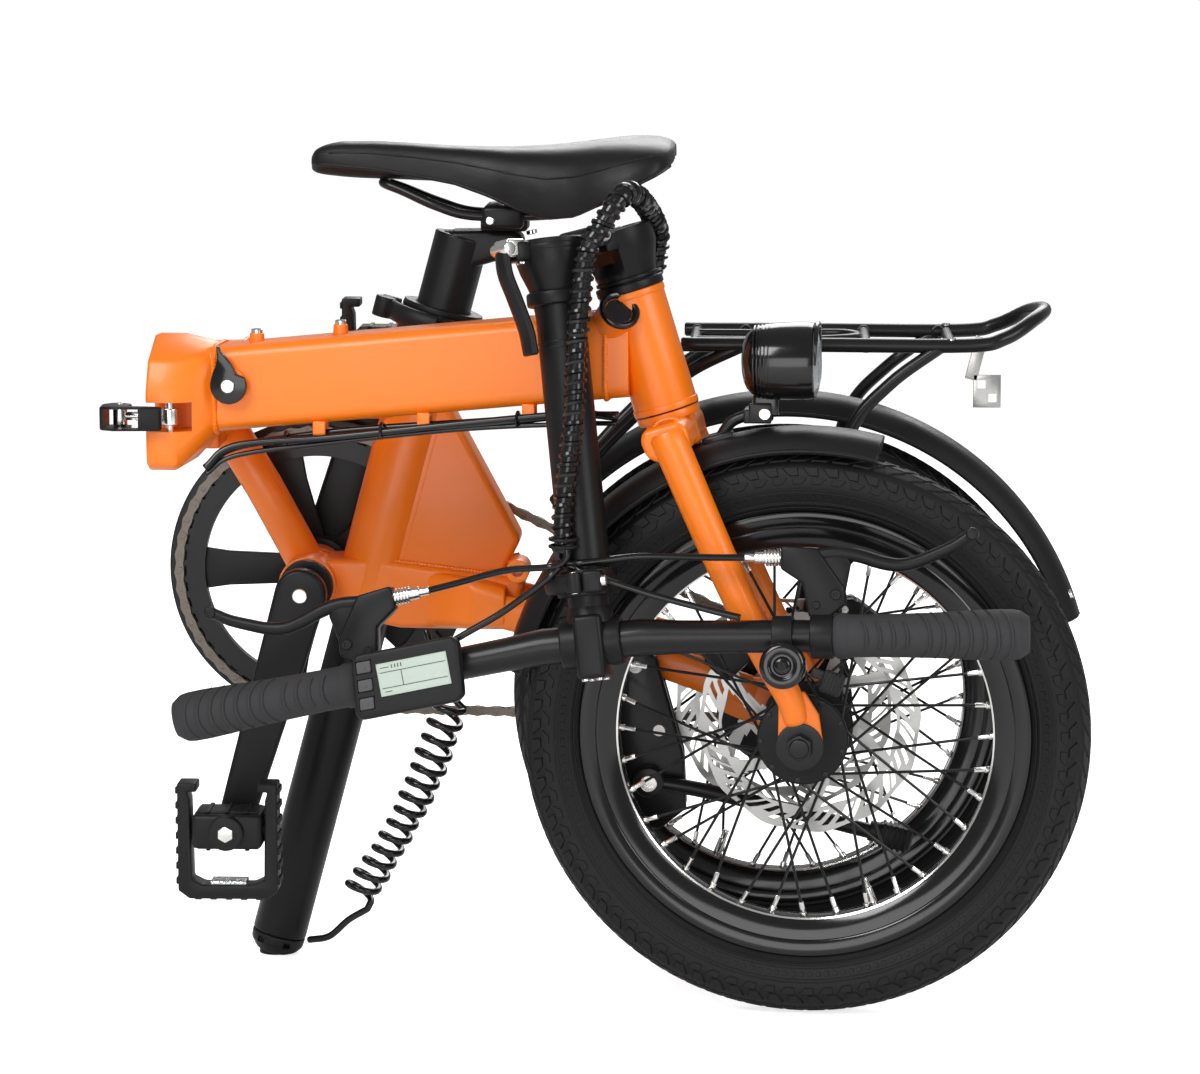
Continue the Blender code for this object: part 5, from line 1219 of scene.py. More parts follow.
def pedal(side, word):
    """Folding pedal: bearing block on its spindle, hooked toothed cage and reflectors."""
    c, s = pedal_centre(side), side
    body = [block((50, 40, 25), (c.x, s * 113, c.z), edge=3.5, segs=4),
            rod((c.x, s * 67, c.z), (c.x, s * 100, c.z), 5.6, 32),
            rod((c.x, s * 80.6, c.z), (c.x, s * 93, c.z), 9.0, 40, edge=1.0),
            rod((c.x, s * 130, c.z), (c.x, s * 139, c.z), 12.5, 48, edge=1.6)]
    for k in (-1, 1):
        body.append(block((44, 26, 2.0), (c.x, s * 113, c.z + k * 12.9), edge=0.8))
        for x in (-14, 0, 14):
            body.append(block((3, 30, 1.6), (c.x + x, s * 113, c.z + k * 13.8), edge=0.6))
    put(body, f"pedal_{word}_housing", f"pedal_{word}", "black_plastic", f"pedal_{word}_block")
    nut = disc(6.0, 0, 2.0, 0.5, (c.x, s * 138.6, c.z), Y * s, 6)
    wrench = collar(5.4, 8.2, 0, 5.0, 0.4, (c.x, s * 80.9, c.z), Y * s, 8)
    put([nut, wrench], f"pedal_{word}_nuts", f"pedal_{word}", "bright_steel")
    pts = [(-36, -44), (-28, -50), (28, -50), (36, -44), (36, 34.5), (22, 34.5), (22, 28), (29, 28), (27, 22),
           (26, -36), (18, -40), (-18, -40), (-26, -36), (-27, 22), (-29, 28), (-22, 28), (-22, 34.5),
           (-36, 34.5)]
    cage = soften(xz_plate([(c.x + x, c.z + z) for x, z in pts], *sorted((s * 108, s * 128))), 1.4, 3, 25)
    teeth = []
    for k in (-1, 1):
        for z in (-37, -26, -15, -4, 7, 18, 29):
            for y in (111, 118, 125):
                teeth.append(block((2.2, 3.6, 5.0), (c.x + k * 36.4, s * y, c.z + z), edge=0.7))
        teeth.append(block((3.0, 15, 44), (c.x + k * 33.2, s * 118, c.z - 8), edge=1.0))
    for x in (-22, -11, 0, 11, 22):
        teeth.append(block((5.0, 14, 2.2), (c.x + x, s * 118, c.z - 50.2), edge=0.7))
    pins = [rod((c.x + k * 34, s * 118, c.z), (c.x + k * 24, s * 118, c.z), 5.0, 28) for k in (1, -1)]
    put([cage, *teeth, *pins], f"pedal_{word}_platform_cage", f"pedal_{word}_platform", "black_plastic",
        f"pedal_{word}_cage")
    lens = block((26, 16, 3.0), (c.x, s * 118, c.z - 38.6), edge=0.8)
    put(lens, f"pedal_{word}_reflector", f"pedal_{word}_platform", "reflector")
    bolts = [bolt_head((c.x + k * 33.6, s * 118, c.z), X * k, 3.0, 2.0) for k in (1, -1)]
    put(bolts, f"pedal_{word}_pins", f"pedal_{word}_platform", "bright_steel")


# ---------------------------------------------------------------- front half
BEAM_END = -778
PORT_DIR = Vector((-0.40, 0.72, 0.56)).normalized()
PORT_END = Vector((-772.0, 27.0, 498.0))


def beam_ring(x, grow=0.0):
    """Outline of the main beam at x."""
    t = (x - (HINGE_X - 40)) / (BEAM_END - (HINGE_X - 40))
    z0, z1 = 408.2 + 28.8 * t, 468.2 + 29.3 * t
    return at_x(x, round_rect(24.7 + grow, z0 - grow, z1 + grow, 10 + grow, 8))


def front_frame():
    face = hinge_outline(383, 476, 42, 8)
    parts = [hinge_casting(-1, face, twelve_box(25, 408.8, 468.8, 10),
                           ((40, 50, 20.5), (HINGE_X - 12, 36, 421))), hinge_knuckle(405, 441, -1)]
    parts.append(loft([beam_ring(HINGE_X - 40), beam_ring(-600), beam_ring(BEAM_END)]))
    parts.append(collar(22.5, 16.4, -43.6, 41.6, 1.0, on_steer(0), STEER_DIR, 72))
    for t in (-42.0, 39.8):
        parts.append(collar(23.3, 18, t - 2.4, t + 2.4, 0.8, on_steer(0), STEER_DIR, 72))
    parts.append(rod(PORT_END - PORT_DIR * 34, PORT_END, 14.0, 56, r2=13.4))
    parts.append(rod((-498, 20, 443), (-498, 28.6, 443), 12.0, 40))
    for x, z in ((-512, 468), (-572, 475)):
        parts.append(turned([(0, 0), (5.6, 0), (5.0, 9), (0, 9)], 0.8, (x, 0, z), Z, 32))
    parts.append(weld_bead(beam_ring(HINGE_X - 46, 0.3), 2.0))
    parts.append(weld_bead(beam_ring(-762, 0.1), 1.9))
    for k in range(3):
        x = -560 - 74 * k
        z = 408.2 + 28.8 * (x + 480) / -298
        for dy in (12, 24):
            parts.append(block((9, 2.4, 10), (x, dy - 2, z - 3.2), edge=1.0))
        parts.append(block((9, 12, 3.0), (x, 16, z + 0.2), edge=1.0))
    put(parts, "front_frame_paint", "front_half", "orange_paint", "front_frame")
    bezel = turned([(14.6, -0.6), (14.6, 2.4), (12.8, 3.8), (10.2, 2.8), (9.4, -0.5)], 0.8, PORT_END,
                   PORT_DIR, 56)
    well = rod(PORT_END - PORT_DIR * 2.0, PORT_END + PORT_DIR * 0.15, 9.6, 40)
    seam = collar(22.9, 17, -45.2, -43.4, 0.4, on_steer(0), STEER_DIR, 72)
    put([bezel, well, seam], "cable_port_bezel", "front_half", "black_gloss")
    bolts = [bolt_head((x, 0, z + 8.6), Z, 4.0, 3.4) for x, z in ((-512, 468), (-572, 475))]
    put(bolts, "frame_bolts", "front_half", "bright_steel")


def frame_latch():
    pin = rod((-456, 33, 396.5), (-456, 33, 446), 2.9, 24)
    eye = rod((-456, 33, 415), (-456, 33, 427), 6.5, 36, edge=1.0)
    shank = rod((-456, 33, 421), (-425, 35, 421), 3.0, 24)
    head = rod((-421, 35, 414.5), (-421, 35, 427.5), 5.0, 32, edge=0.8)
    threads = [rod((-449 + 2 * k, 33.45 + 0.13 * k, 421), (-448 + 2 * k, 33.5 + 0.13 * k, 421), 3.5, 20,
                   edge=0.4) for k in range(9)]
    put([pin, eye, shank, head, *threads], "latch_eye_bolt", "frame_latch_bolt", "bright_steel", "latch_bolt")
    outline = [(-413, 28), (-408, 36), (-410, 52), (-420, 57), (-453, 52), (-454, 47), (-432, 45.5),
               (-428, 40), (-429, 31), (-421, 26)]
    body = soften(loft([[(x, y, z) for x, y in outline] for z in (412.5, 429.5)]), 1.6, 3, 20)
    body = cut(body, block((26, 50, 13.8), (-425, 38, 421), edge=0))
    put(body, "latch_cam_lever", "frame_latch_lever", "black_anodised", "latch_lever")
    pins = rod((-421, 35, 411.6), (-421, 35, 430.4), 2.4, 20)
    put(pins, "latch_cam_pin", "frame_latch_lever", "bright_steel")


def port_cover():
    outline = [(8.2, 28.0), (6.6, 27.6)]
    outline += [(5.2 - 10.6 * math.sin(math.pi / 2 * k / 8), 24.0 - 18.0 * (k / 8)) for k in range(8)]
    for k in range(33):
        a = math.radians(152 + 220 * k / 32)
        outline.append((13.0 * math.cos(a), 13.0 * math.sin(a)))
    outline += [(11.2, 8.6), (8.6, 14.6), (7.8, 20.0)]
    body = soften(xz_plate([(-498 + x, 443 + z) for x, z in outline], 29.2, 34.0), 1.4, 3, 25)
    put(body, "port_cover_leaf", "port_cover", "black_gloss", "port_cover")
    put(bolt_head((-498, 33.6, 443), Y, 4.8, 3.0), "port_cover_bolt", "port_cover", "bright_steel")


def cable_loom():
    """Four hoses and wires side by side under the beam, tied to its guides."""
    base = [(-481, 30, 385), (-502, 24, 400), (-570, 18, 408.6), (-660, 18, 417.6), (-738, 18, 425.0),
            (-770, 20, 424)]
    parts = []
    for k, (dy, dz, r) in enumerate(((-5.0, 0.6, 2.4), (0.2, -0.8, 2.6), (5.2, 0.6, 2.4), (2.6, -4.6, 1.8))):
        pts = []
        for i, (x, y, z) in enumerate(base):
            sway = 1.4 * math.sin(2.1 * i + 1.7 * k)
            pts.append((x, y + dy + sway * 0.4, z + dz - (1.0 + sway if i not in (0, 5) else 0)))
        parts.append(bent(pts, 14, r, 14))
    for x in (-536, -604, -700, -750):
        z = 408.6 + 16.4 * (x + 570) / -168 - 0.8
        parts.append(tube([(x, 18 + 8.0 * math.cos(a), z + 5.2 * math.sin(a)) for a in turns(28)], 1.2, 8,
                          loop=True))
    put(parts, "loom_hoses", "front_half", "cable_black", "cable_loom")


# ---------------------------------------------------------------- fork and lamp
def fork():
    parts = [rod(on_steer(-52), on_steer(48), 14.0, 48),
             rod(on_steer(-72), on_steer(-49), 17.5, 56, edge=1.6),
             turned([(14, -51.5), (21.8, -51.5), (22.4, -49), (22.4, -45.2), (14, -45.2)], 0.8, on_steer(0),
                    STEER_DIR, 72)]
    crown = loft([[on_steer(t, f, y) for t, f in ((-50, -13), (-50, 12), (-56, 17), (-70, 16), (-74, 8),
                                                  (-74, -10), (-68, -16), (-56, -17))]
                  for y in (-56.0, 56.0)])
    parts.append(soften(crown, 4.5, 5, 25))
    for s in (1, -1):
        path = smooth_path([on_steer(-58, 2, s * 53), (-845, s * 53, 331), (-874, s * 53.5, 270),
                            (-893, s * 52.5, 235), (-898, s * 51, 218)], 10)
        n = len(path)
        radii = [12.6 - 4.4 * (i / (n - 1)) ** 1.2 for i in range(n)]
        parts.append(tube(path, radii, 40, flat=0.92, side=X))
        ring = [(-WHEELBASE + 16 * math.cos(math.radians(a)), AXLE_Z + 16 * math.sin(math.radians(a)))
                for a in range(-190, 20, 8)]
        drop = [(-886, 226), (-884, 238), (-904, 238), (-914, 222)] + ring
        tip = soften(xz_plate(drop, *sorted((s * 46.5, s * 52.5))), 1.3, 3, 25)
        eyes = [rod((x, s * 40, z), (x, s * 60, z), 2.3, 20) for x, z in ((-891, 229), (-903, 224))]
        parts.append(cut(tip, *eyes))
        parts.append(weld_bead(ring_around((-894.5, s * 51.6, 232), (0.35, 0, 0.94), 8.6, steps=24,
                                           squeeze=0.6), 1.3))
        parts.append(weld_bead(ring_around(on_steer(-60, 2, s * 42), Y, 12.6, steps=28), 1.4))
        parts.append(block((7, 9, 12), (-872, s * 47.5, 274), (1, 0, -0.4), (0.4, 0, 1), 1.6))
    put(parts, "fork_paint", "fork", "orange_paint", "fork")


def front_fender():
    put(fender(-WHEELBASE, 12, 104, 217.0, 56), "front_mudguard", "fork", "black_plastic", "front_fender",
        angle=50)
    bracket = block((22, 16, 16), (-840, 0, 403), (1, 0, -0.3), (0.3, 0, 1), 2.2)
    arm = bent([(-838, 0, 404), (-847, 0, 418), (-859, 0, 424)], 6, 4.0, 20)
    ears = [block((16, 4, 14), (-868.5, s * 8.6, 426), edge=1.4) for s in (1, -1)]
    web = block((5, 21, 10), (-859.5, 0, 424), edge=1.0)
    put([bracket, arm, *ears, web], "lamp_strap", "fork", "black_paint")
    bolts = [bolt_head((-872, s * 10.6, 426), Y * s, 4.2, 2.6) for s in (1, -1)]
    bolts += [fender_bolt(-WHEELBASE, a, 214.5, y) for a, y in ((16, 12), (16, -12), (98, 0))]
    put(bolts, "front_mudguard_bolts", "fork", "bright_steel")


def headlight():
    axis = (-1, 0, 0.02)
    origin = (-855, 0, 461)
    shell = lathe([(0, -0.2), (8, 0.2), (14, 1.2), (19, 3.6), (22.5, 7), (25, 12), (26.3, 18), (27.2, 28),
                   (27.5, 40), (27.3, 47), (26.7, 50.4), (25.9, 51), (25.0, 50.6), (24.8, 46), (0, 46)],
                  origin, axis, 72)
    ribs = [collar(24.0 + 0.28 * k, 25.6 + 0.28 * k, 9 + 2.6 * k, 10.2 + 2.6 * k, 0.4, origin, axis, 72)
            for k in range(5)]
    foot = block((18, 10, 16), (-872, 0, 431), edge=2.2)
    hood = sweep_hood(origin)
    put([shell, foot, hood, *ribs], "headlight_shell", "headlight", "black_gloss", "headlight")
    bowl = lathe([(4.2, 46.6), (12, 47.2), (20, 48.6), (24.4, 50.2), (24.4, 46.4), (4.2, 46.3)], origin, axis,
                 56)
    put(bowl, "headlight_bowl", "headlight", "reflector")
    led = disc(4.0, 46.2, 48.4, 0.5, origin, axis, 24)
    put(led, "headlight_led", "headlight", "lens")
    lens = lathe([(0, 51.6), (12, 51.2), (20, 50.6), (24.3, 50.4), (24.5, 51.2), (20, 53.2), (12, 54.8),
                  (0, 55.6)], origin, axis, 64)
    fins = [block((1.0, 44 * math.cos(math.asin(k / 5.5)) * 0.96, 1.6), Vector(origin)
                  + Vector((-51.9, 0, 1.0 + 4.2 * k)), edge=0.4) for k in range(-4, 5)]
    put([lens, *fins], "headlight_glass", "headlight", "lens", "headlight_lens")
    pin = rod((-872, -10.4, 426), (-872, 10.4, 426), 3.0, 24)
    put(pin, "headlight_pin", "headlight", "bright_steel")


def sweep_hood(origin):
    """Visor over the upper half of the lens."""
    pts = []
    for k in range(25):
        a = math.pi * k / 24
        pts.append((origin[0] - 52.6, 26.2 * math.cos(a), origin[2] + 1.05 + 26.2 * math.sin(a)))
    return tube(pts, [0.8 + 1.1 * math.sin(math.pi * k / 24) for k in range(25)], 10)


# ---------------------------------------------------------------- handlepost
def stem_ring(t, round_r=None, count=48, grow=0.0):
    ring = []
    for a in turns(count):
        c = math.cos(a)
        r = round_r if round_r else min(27.5, 17.0 / c if c > 0.2 else 1e9) + grow
        ring.append(stem_plane(r * c, r * math.sin(a), t))
    return ring


def stem_knuckle(b0, b1, up):
    barrel = rod(stem_plane(26.3, b0, 0), stem_plane(26.3, b1, 0), 7.6, 40, edge=1.0)
    t0, t1 = (0.8, 12.6) if up else (-12.6, -0.8)
    arm = block((18.3, b1 - b0 - 0.9, t1 - t0), stem_plane(17.15, (b0 + b1) / 2, (t0 + t1) / 2), STEM_SIDE,
                STEER_DIR, 1.2)
    return join(barrel, arm)


def stem_base():
    rings = [stem_ring(-43.6, 19.2), stem_ring(-42.8, 20.5), stem_ring(-36, 20.5), stem_ring(-30, 22.0),
             stem_ring(-22, grow=-3.0), stem_ring(-14, grow=-0.3), stem_ring(-4), stem_ring(-1.2),
             stem_ring(-0.4, grow=-1.0)]
    cap = collar(24.0, 14.6, -43.9, -37.5, 1.2, STEM_TOP, STEER_DIR, 72)
    lip = collar(22.6, 18, -36.6, -34.0, 0.7, STEM_TOP, STEER_DIR, 72)
    parts = [loft(rings), cap, lip, stem_knuckle(-23, -9.3, False), stem_knuckle(9.3, 23, False)]
    put(parts, "stem_casting", "fork", "black_anodised", "stem_base")
    pin = [rod(stem_plane(26.3, -24.2, 0), stem_plane(26.3, 24.2, 0), 3.0, 28)]
    pin += [bolt_head(stem_plane(26.3, s * 23.4, 0), STEM_AXIS * s, 5.0, 2.0) for s in (1, -1)]
    pin += [bolt_head(stem_plane(-14, s * 13, -0.9), STEER_DIR, 4.0, 1.0) for s in (1, -1)]
    put(pin, "stem_pin", "fork", "steel")


def handlepost():
    rings = [stem_ring(0.4, grow=-1.0), stem_ring(1.3), stem_ring(5), stem_ring(13), stem_ring(22, grow=-2.6),
             stem_ring(34, 20.0), stem_ring(44, 18.0), stem_ring(52, 17.2), stem_ring(226, 17.2)]
    band = collar(27.9, 20, 3.4, 8.6, 1.4, STEM_TOP, STEER_DIR, 72)
    ring = collar(14.9, 21.0, 228, 246, 1.2, STEM_TOP, STEER_DIR, 72)
    ear = block((18, 13, 15), on_steer(STEM_T + 237, 22, 8), STEER_FWD, STEER_DIR, 1.8)
    hook = block((13, 18, 14), stem_plane(-31, 0, 8), STEM_SIDE, STEER_DIR, 2.4)
    parts = [loft(rings), cut(band, block((30, 80, 40), stem_plane(32.5, 0, 6), STEM_SIDE, STEER_DIR, 0)),
             ring, ear, hook, stem_knuckle(-8.95, 8.95, True)]
    parts.append(turned([(22.2, 36), (22.2, 45), (17, 46), (17, 35)], 1.6, STEM_TOP, STEER_DIR, 72))
    for t in (70, 74):
        parts.append(collar(17.5, 16, t, t + 1.6, 0.5, STEM_TOP, STEER_DIR, 64))
    put(parts, "handlepost_outer", "handlepost", "black_anodised", "handlepost")
    bolts = [bolt_head(on_steer(STEM_T + 237, 26, 14.2), Y, 4.2, 3.4),
             bolt_head(stem_plane(-28.5, 0, 14.8), STEER_DIR, 3.6, 1.8)]
    put(bolts, "handlepost_bolts", "handlepost", "bright_steel")


def stem_latch():
    """Black blade with a bright barrel, carrier and claw at the hinge."""
    pts = [stem_plane(-43, 0, 5), stem_plane(-43, 0, 22), stem_plane(-37, 0, 40), stem_plane(-30, 0, 62),
           stem_plane(-28, 0, 78)]
    blade = bent(pts, 8, 4.2, 24, flat=1.8, side=STEM_SIDE)
    barrel = rod(stem_plane(-43, -9, 6), stem_plane(-43, 9, 6), 4.6, 36, edge=0.8)
    claw = block((9, 15, 5.5), stem_plane(-39.6, 0, 9.5), STEM_SIDE, STEER_DIR, 1.2)
    put(blade, "stem_latch_blade", "stem_latch", "black_anodised", "stem_latch")
    carrier = block((15, 17, 12), stem_plane(-37, 0, 5.5), STEM_SIDE, STEER_DIR, 1.8)
    screw = bolt_head(stem_plane(-37, -8.4, 5.5), -STEM_AXIS, 3.6, 1.0)
    put([barrel, claw, carrier, screw], "stem_latch_claw", "stem_latch", "bright_steel")


def post_lever():
    t = STEM_T + 237
    path = [on_steer(t, 28, -5), on_steer(t, 22, -15), on_steer(t, 10, -23.5), on_steer(t, -8, -27),
            on_steer(t, -22, -24)]
    blade = bent(path, 8, 3.4, 24, flat=1.9, side=STEER_FWD)
    eye = rod(on_steer(t - 7, 28, -4.4), on_steer(t + 7, 28, -4.4), 5.2, 36, edge=0.9)
    put([blade, eye], "post_cam_lever", "post_lever", "black_plastic", "post_lever")
    pin = rod(on_steer(t - 7.6, 28, -4.4), on_steer(t + 7.6, 28, -4.4), 2.4, 20)
    put(pin, "post_cam_pin", "post_lever", "bright_steel")


def inner_post():
    post = rod(on_steer(STEM_T + 70), on_steer(BAR_T - 6), 14.3, 64)
    neck = turned([(0, 0), (13.9, 0), (17.6, 13.4), (0, 13.4)], 1.2, on_steer(BAR_T - 26), STEER_DIR, 64)
    tee = rod(on_steer(BAR_T, 0, -21), on_steer(BAR_T, 0, 21), 17.0, 72, edge=1.4)
    plate = block((40, 20, 44), on_steer(BAR_T + 3, 1, 0), STEER_FWD, STEER_DIR, 3.5, 4)
    strap = tube([on_steer(BAR_T + 18.2 * math.cos(a), 18.2 * math.sin(a)) for a in turns(48)], 2.4, 12,
                 loop=True)
    put([post, neck, tee, plate, strap], "post_clamp", "inner_post", "black_anodised", "inner_post")
    bolts = []
    for f in (-14, 16):
        for y in (-5, 5):
            bolts.append(bolt_head(on_steer(BAR_T + 24.6, f, y), STEER_DIR, 2.6, 1.8))
    for k in range(9):
        t = BAR_T - 40 - 6 * k
        if t > STEM_T + 250:
            bolts.append(block((3.4 if k % 2 else 5.0, 0.5, 0.5), on_steer(t, 14.3, 0), Y, STEER_DIR, 0.1))
    put(bolts, "post_clamp_bolts", "inner_post", "bright_steel")


def handlebar():
    ys = [-BAR_HALF, -160, -100, -60, -44, -34, -22, 0, 22, 34, 44, 60, 100, 160, BAR_HALF]
    radii = [11.1, 11.1, 11.2, 11.6, 12.2, 12.6, 12.7, 12.7, 12.7, 12.6, 12.2, 11.6, 11.2, 11.1, 11.1]
    put(tube([bar_point(y) for y in ys], radii, 48, side=STEER_DIR), "bar_tube", "handlebar", "black_paint",
        "handlebar")


def grip(s, word):
    """Rubber grip: flared palm rest, crosswise ribs, end cap and inner clamp ring."""
    ys, radii = [], []
    shape = [(168, 14.0), (171, 15.0), (178, 14.6), (190, 14.5), (210, 14.9), (230, 15.4), (248, 16.2),
             (262, 16.9), (276, 17.4), (286, 17.2), (291, 16.4), (293.6, 14.6)]

    def at(y):
        for a, b in zip(shape, shape[1:]):
            if a[0] <= y <= b[0]:
                return a[1] + (b[1] - a[1]) * (y - a[0]) / (b[0] - a[0])
        return shape[-1][1]
    y = 168.0
    while y <= 293.6:
        ys.append(y)
        radii.append(at(y))
        y += 1.2
    body = tube([bar_point(s * v) for v in ys], radii, 56, side=STEER_DIR, flat=0.97)
    ring = tube([bar_point(s * 168.2), bar_point(s * 174.5)], 15.6, 48, side=STEER_DIR)
    fins = []
    for k in range(11):
        yy = 186 + 9.2 * k
        span, bow = (0.75, 3.0) if k < 4 else (1.35, 9.0)
        for a0 in (math.pi / 2, -math.pi / 2):
            line = []
            for j in range(13):
                t = j / 6 - 1
                r = at(min(yy + bow, 292)) + 0.15
                line.append(bar_point(s * min(yy + bow * (1 - t * t), 291.0), -r * math.cos(a0 + span * t),
                                      r * math.sin(a0 + span * t)))
            fins.append(tube(line, [0.3 + 0.75 * math.sqrt(max(0.0, 1 - (j / 6 - 1) ** 2))
                                    for j in range(13)], 8))
    put([body, ring, *fins], f"grip_{word}_rubber", "handlebar", "grip_rubber", f"grip_{word}")


def brake_set(s, word):
    """Clamp band, lever bracket, bright cable adjuster and the blade lever."""
    band = sleeve(bar_point(s * 150), bar_point(s * 165.5), 15.5, 11.3, 56, 1.0)
    arm = bar_slab([(150, 13), (165, 13), (176, 22), (176, 33), (160, 60), (136, 62), (134, 46),
                    (148, 36)], -8.0, 6.0, s)
    room = bar_slab([(162, 18), (190, 10), (190, 80), (146, 80), (146, 50), (156, 40)], -5.2, 3.2, s)
    arm = cut(soften(arm, 1.8, 3), room)
    bolts = (bolt_head(bar_point(s * 170, 28, 5.6), STEER_FWD, 3.6, 2.0),
             bolt_head(bar_point(s * 156, 21, 5.6), STEER_FWD, 2.8, 1.6))
    put([band, arm, *bolts], f"brake_{word}_bracket", "handlebar", "black_anodised", f"brake_mount_{word}")
    silver = []
    for k in range(7):
        y0 = 134.5 - 2.2 * k
        silver.append(disc(6.0 if k < 5 else 4.6, 0, 1.7, 0.5, bar_point(s * y0, 54, -1), -Y * s, 16))
    silver.append(rod(bar_point(s * 136, 54, -1), bar_point(s * 117, 54, -1), 4.4, 24))
    silver.append(rod(bar_point(s * 118, 54, -1), bar_point(s * 110, 54, -1), 3.0, 24))
    put(silver, f"brake_{word}_adjuster", "handlebar", "bright_steel")
    path = [bar_point(s * y, d, -1) for y, d in ((158, 55), (174, 56.5), (188, 54.5), (202, 50), (214, 48),
                                                 (226, 50), (238, 54.5), (252, 60.5), (261, 66), (267, 70))]
    smooth = smooth_path(path, 7)
    n = len(smooth)
    radii = [4.3 - 1.6 * max(0.0, (i / n - 0.35)) for i in range(n - 1)] + [3.4]
    blade = tube(smooth, radii, 24, flat=1.12, side=STEER_FWD)
    root = soften(bar_slab([(164, 26), (170, 22), (175, 26), (182, 50), (176, 60), (158, 59),
                            (158, 50)], -4.4, 2.4, s), 1.4, 3)
    pin = rod(bar_point(s * 170, 28, -7.4), bar_point(s * 170, 28, 5.4), 2.2, 20)
    ball = rod(bar_point(s * 265.8, 68.6, -5.4), bar_point(s * 265.8, 68.6, 3.4), 4.3, 28, edge=1.4)
    put([blade, root, pin, ball], f"brake_{word}_blade", f"brake_{word}", "black_anodised",
        f"brake_lever_{word}")


SCREEN_X = (bar_point(-97) - bar_point(-146)).normalized()
SCREEN_Y = STEER_FWD.cross(SCREEN_X)


def screen_point(a, b, f):
    """A point on the display's face, a along the bar and b across it from the screen's middle."""
    return bar_point(-121, -1.5, f) + SCREEN_X * a + SCREEN_Y * b


def screen_slab(a, b, f0, f1):
    return loft([[screen_point(x, y, f) for x, y in ((-a, -b), (a, -b), (a, b), (-a, b))] for f in (f0, f1)])


def display():
    """Display: rounded housing, glass, generic segments and three rubber keys."""
    body = bar_slab([(-164, 14), (-160, 19), (-92, 19), (-88, 14), (-88, -22), (-93, -26), (-160, -26),
                     (-164, -22)], 16.2, 29.0)
    body = soften(body, 2.4, 4)
    recess = screen_slab(25, 11.5, 28.0, 33.0)
    wells = [key_shape(i, 0.6, 24.9, 33.0) for i in range(3)]
    body = cut(body, recess, *wells)
    strap = sleeve(bar_point(-147), bar_point(-133), 14.8, 11.6, 56, 0.9)
    web = block((12, 10, 14), bar_point(-140, 0, 14), Y, STEER_DIR, 2.0)
    put([body, strap, web], "display_housing", "handlebar", "black_plastic", "display")
    put(screen_slab(24.8, 11.3, 27.6, 28.3), "display_glass", "handlebar", "lcd")
    lines = [(0, 4.8, 46, 0.45), (0, -6.0, 46, 0.45), (-8, -0.6, 0.45, 10.4), (-19, 8.0, 6, 0.5),
             (-19, -8.6, 5, 0.5)]
    ink = [block((w, h, 0.3), screen_point(a, b, 28.4), SCREEN_X, STEER_FWD, 0) for a, b, w, h in lines]
    ink += [block((0.6, 2.6, 0.3), screen_point(-14 + 2.2 * k, 8.2, 28.4), SCREEN_X, STEER_FWD, 0)
            for k in range(4)]
    put(ink, "display_segments", "handlebar", "lcd_ink")
    for i, name in enumerate(("key_up", "key_mode", "key_down")):
        key = soften(key_shape(i, 0.0, 26.6, 30.4), 0.9, 3)
        dot = rod(bar_point(-155, 9.5 - 12.5 * i, 30.2), bar_point(-155, 9.5 - 12.5 * i, 30.75), 1.5, 20,
                  edge=0.2)
        put([key, dot], f"{name}_cap", name, "key_grey", name)


def key_shape(i, grow, f0, f1):
    d = 9.5 - 12.5 * i
    y0, y1 = -160 - grow, -150 + grow
    d0, d1 = d - 4 - grow, d + 4 + grow
    return bar_slab([(y0, d1), (y1, d1), (y1, d0), (y0, d0)], f0, f1)


def bell():
    band = sleeve(bar_point(124), bar_point(138), 14.0, 11.3, 56, 0.9)
    post = rod(bar_point(131, -9, 8), bar_point(131, -15, 16), 5.0, 28)
    dome = lathe([(0, 0), (11.2, 0), (12.4, 0.5), (14.8, 2.0), (15.6, 3.4), (15.8, 5.0), (15.8, 9.8),
                  (15.3, 11.4), (14.2, 12.5), (12.6, 13.0), (9.4, 13.0), (8.7, 12.6), (8.3, 11.8),
                  (7.6, 11.5), (6.4, 11.6), (5.8, 12.2), (5.2, 13.0), (4.2, 13.5), (0, 13.7)],
                 bar_point(131, -20, 14), STEER_FWD, 64)
    put([band, post], "bell_band", "handlebar", "black_plastic")
    put(dome, "bell_dome", "handlebar", "black_gloss", "bell")
    nut = bolt_head(bar_point(131, -20, 27.3), STEER_FWD, 3.0, 1.6)
    put(nut, "bell_screw", "handlebar", "black_plastic")
    side = (Y + STEER_DIR * 0.5).normalized()
    arm = block((16, 7, 5), bar_point(157, -27, 18.8), side, STEER_FWD, 1.2)
    pad = [block((15, 15, 8), bar_point(163, -32, 20.6), side, STEER_FWD, 2.0)]
    for k in range(5):
        pad.append(block((1.4, 15.6, 8.8), bar_point(163, -32, 20.6) + side * (-5.2 + 2.6 * k), side,
                         STEER_FWD, 0.6))
    put([arm, *pad], "bell_thumb_lever", "bell_lever", "black_plastic", "bell_lever")


# ---------------------------------------------------------------- hoses
def world_mm(group, p):
    """A layout point carried to its rest place, in the millimetres of the rear layout."""
    return REAR.inverted() @ (group @ Vector(p))


def wrap(path, r, pitch=7.0, wire=1.5):
    """A spiral binding round a bundle."""
    dense = smooth_path(path, 12)
    out = []
    travelled = 0.0
    for i, p in enumerate(dense):
        q = dense[min(i + 1, len(dense) - 1)]
        t = (q - dense[max(i - 1, 0)]).normalized()
        side = (Y - t * Y.dot(t)).normalized()
        other = t.cross(side)
        steps = 10
        length = (q - p).length
        for k in range(steps):
            a = 2 * math.pi * (travelled + length * k / steps) / pitch
            out.append(p.lerp(q, k / steps) + (side * math.cos(a) + other * math.sin(a)) * r)
        travelled += length
    return tube(out[:-1], wire, 6)


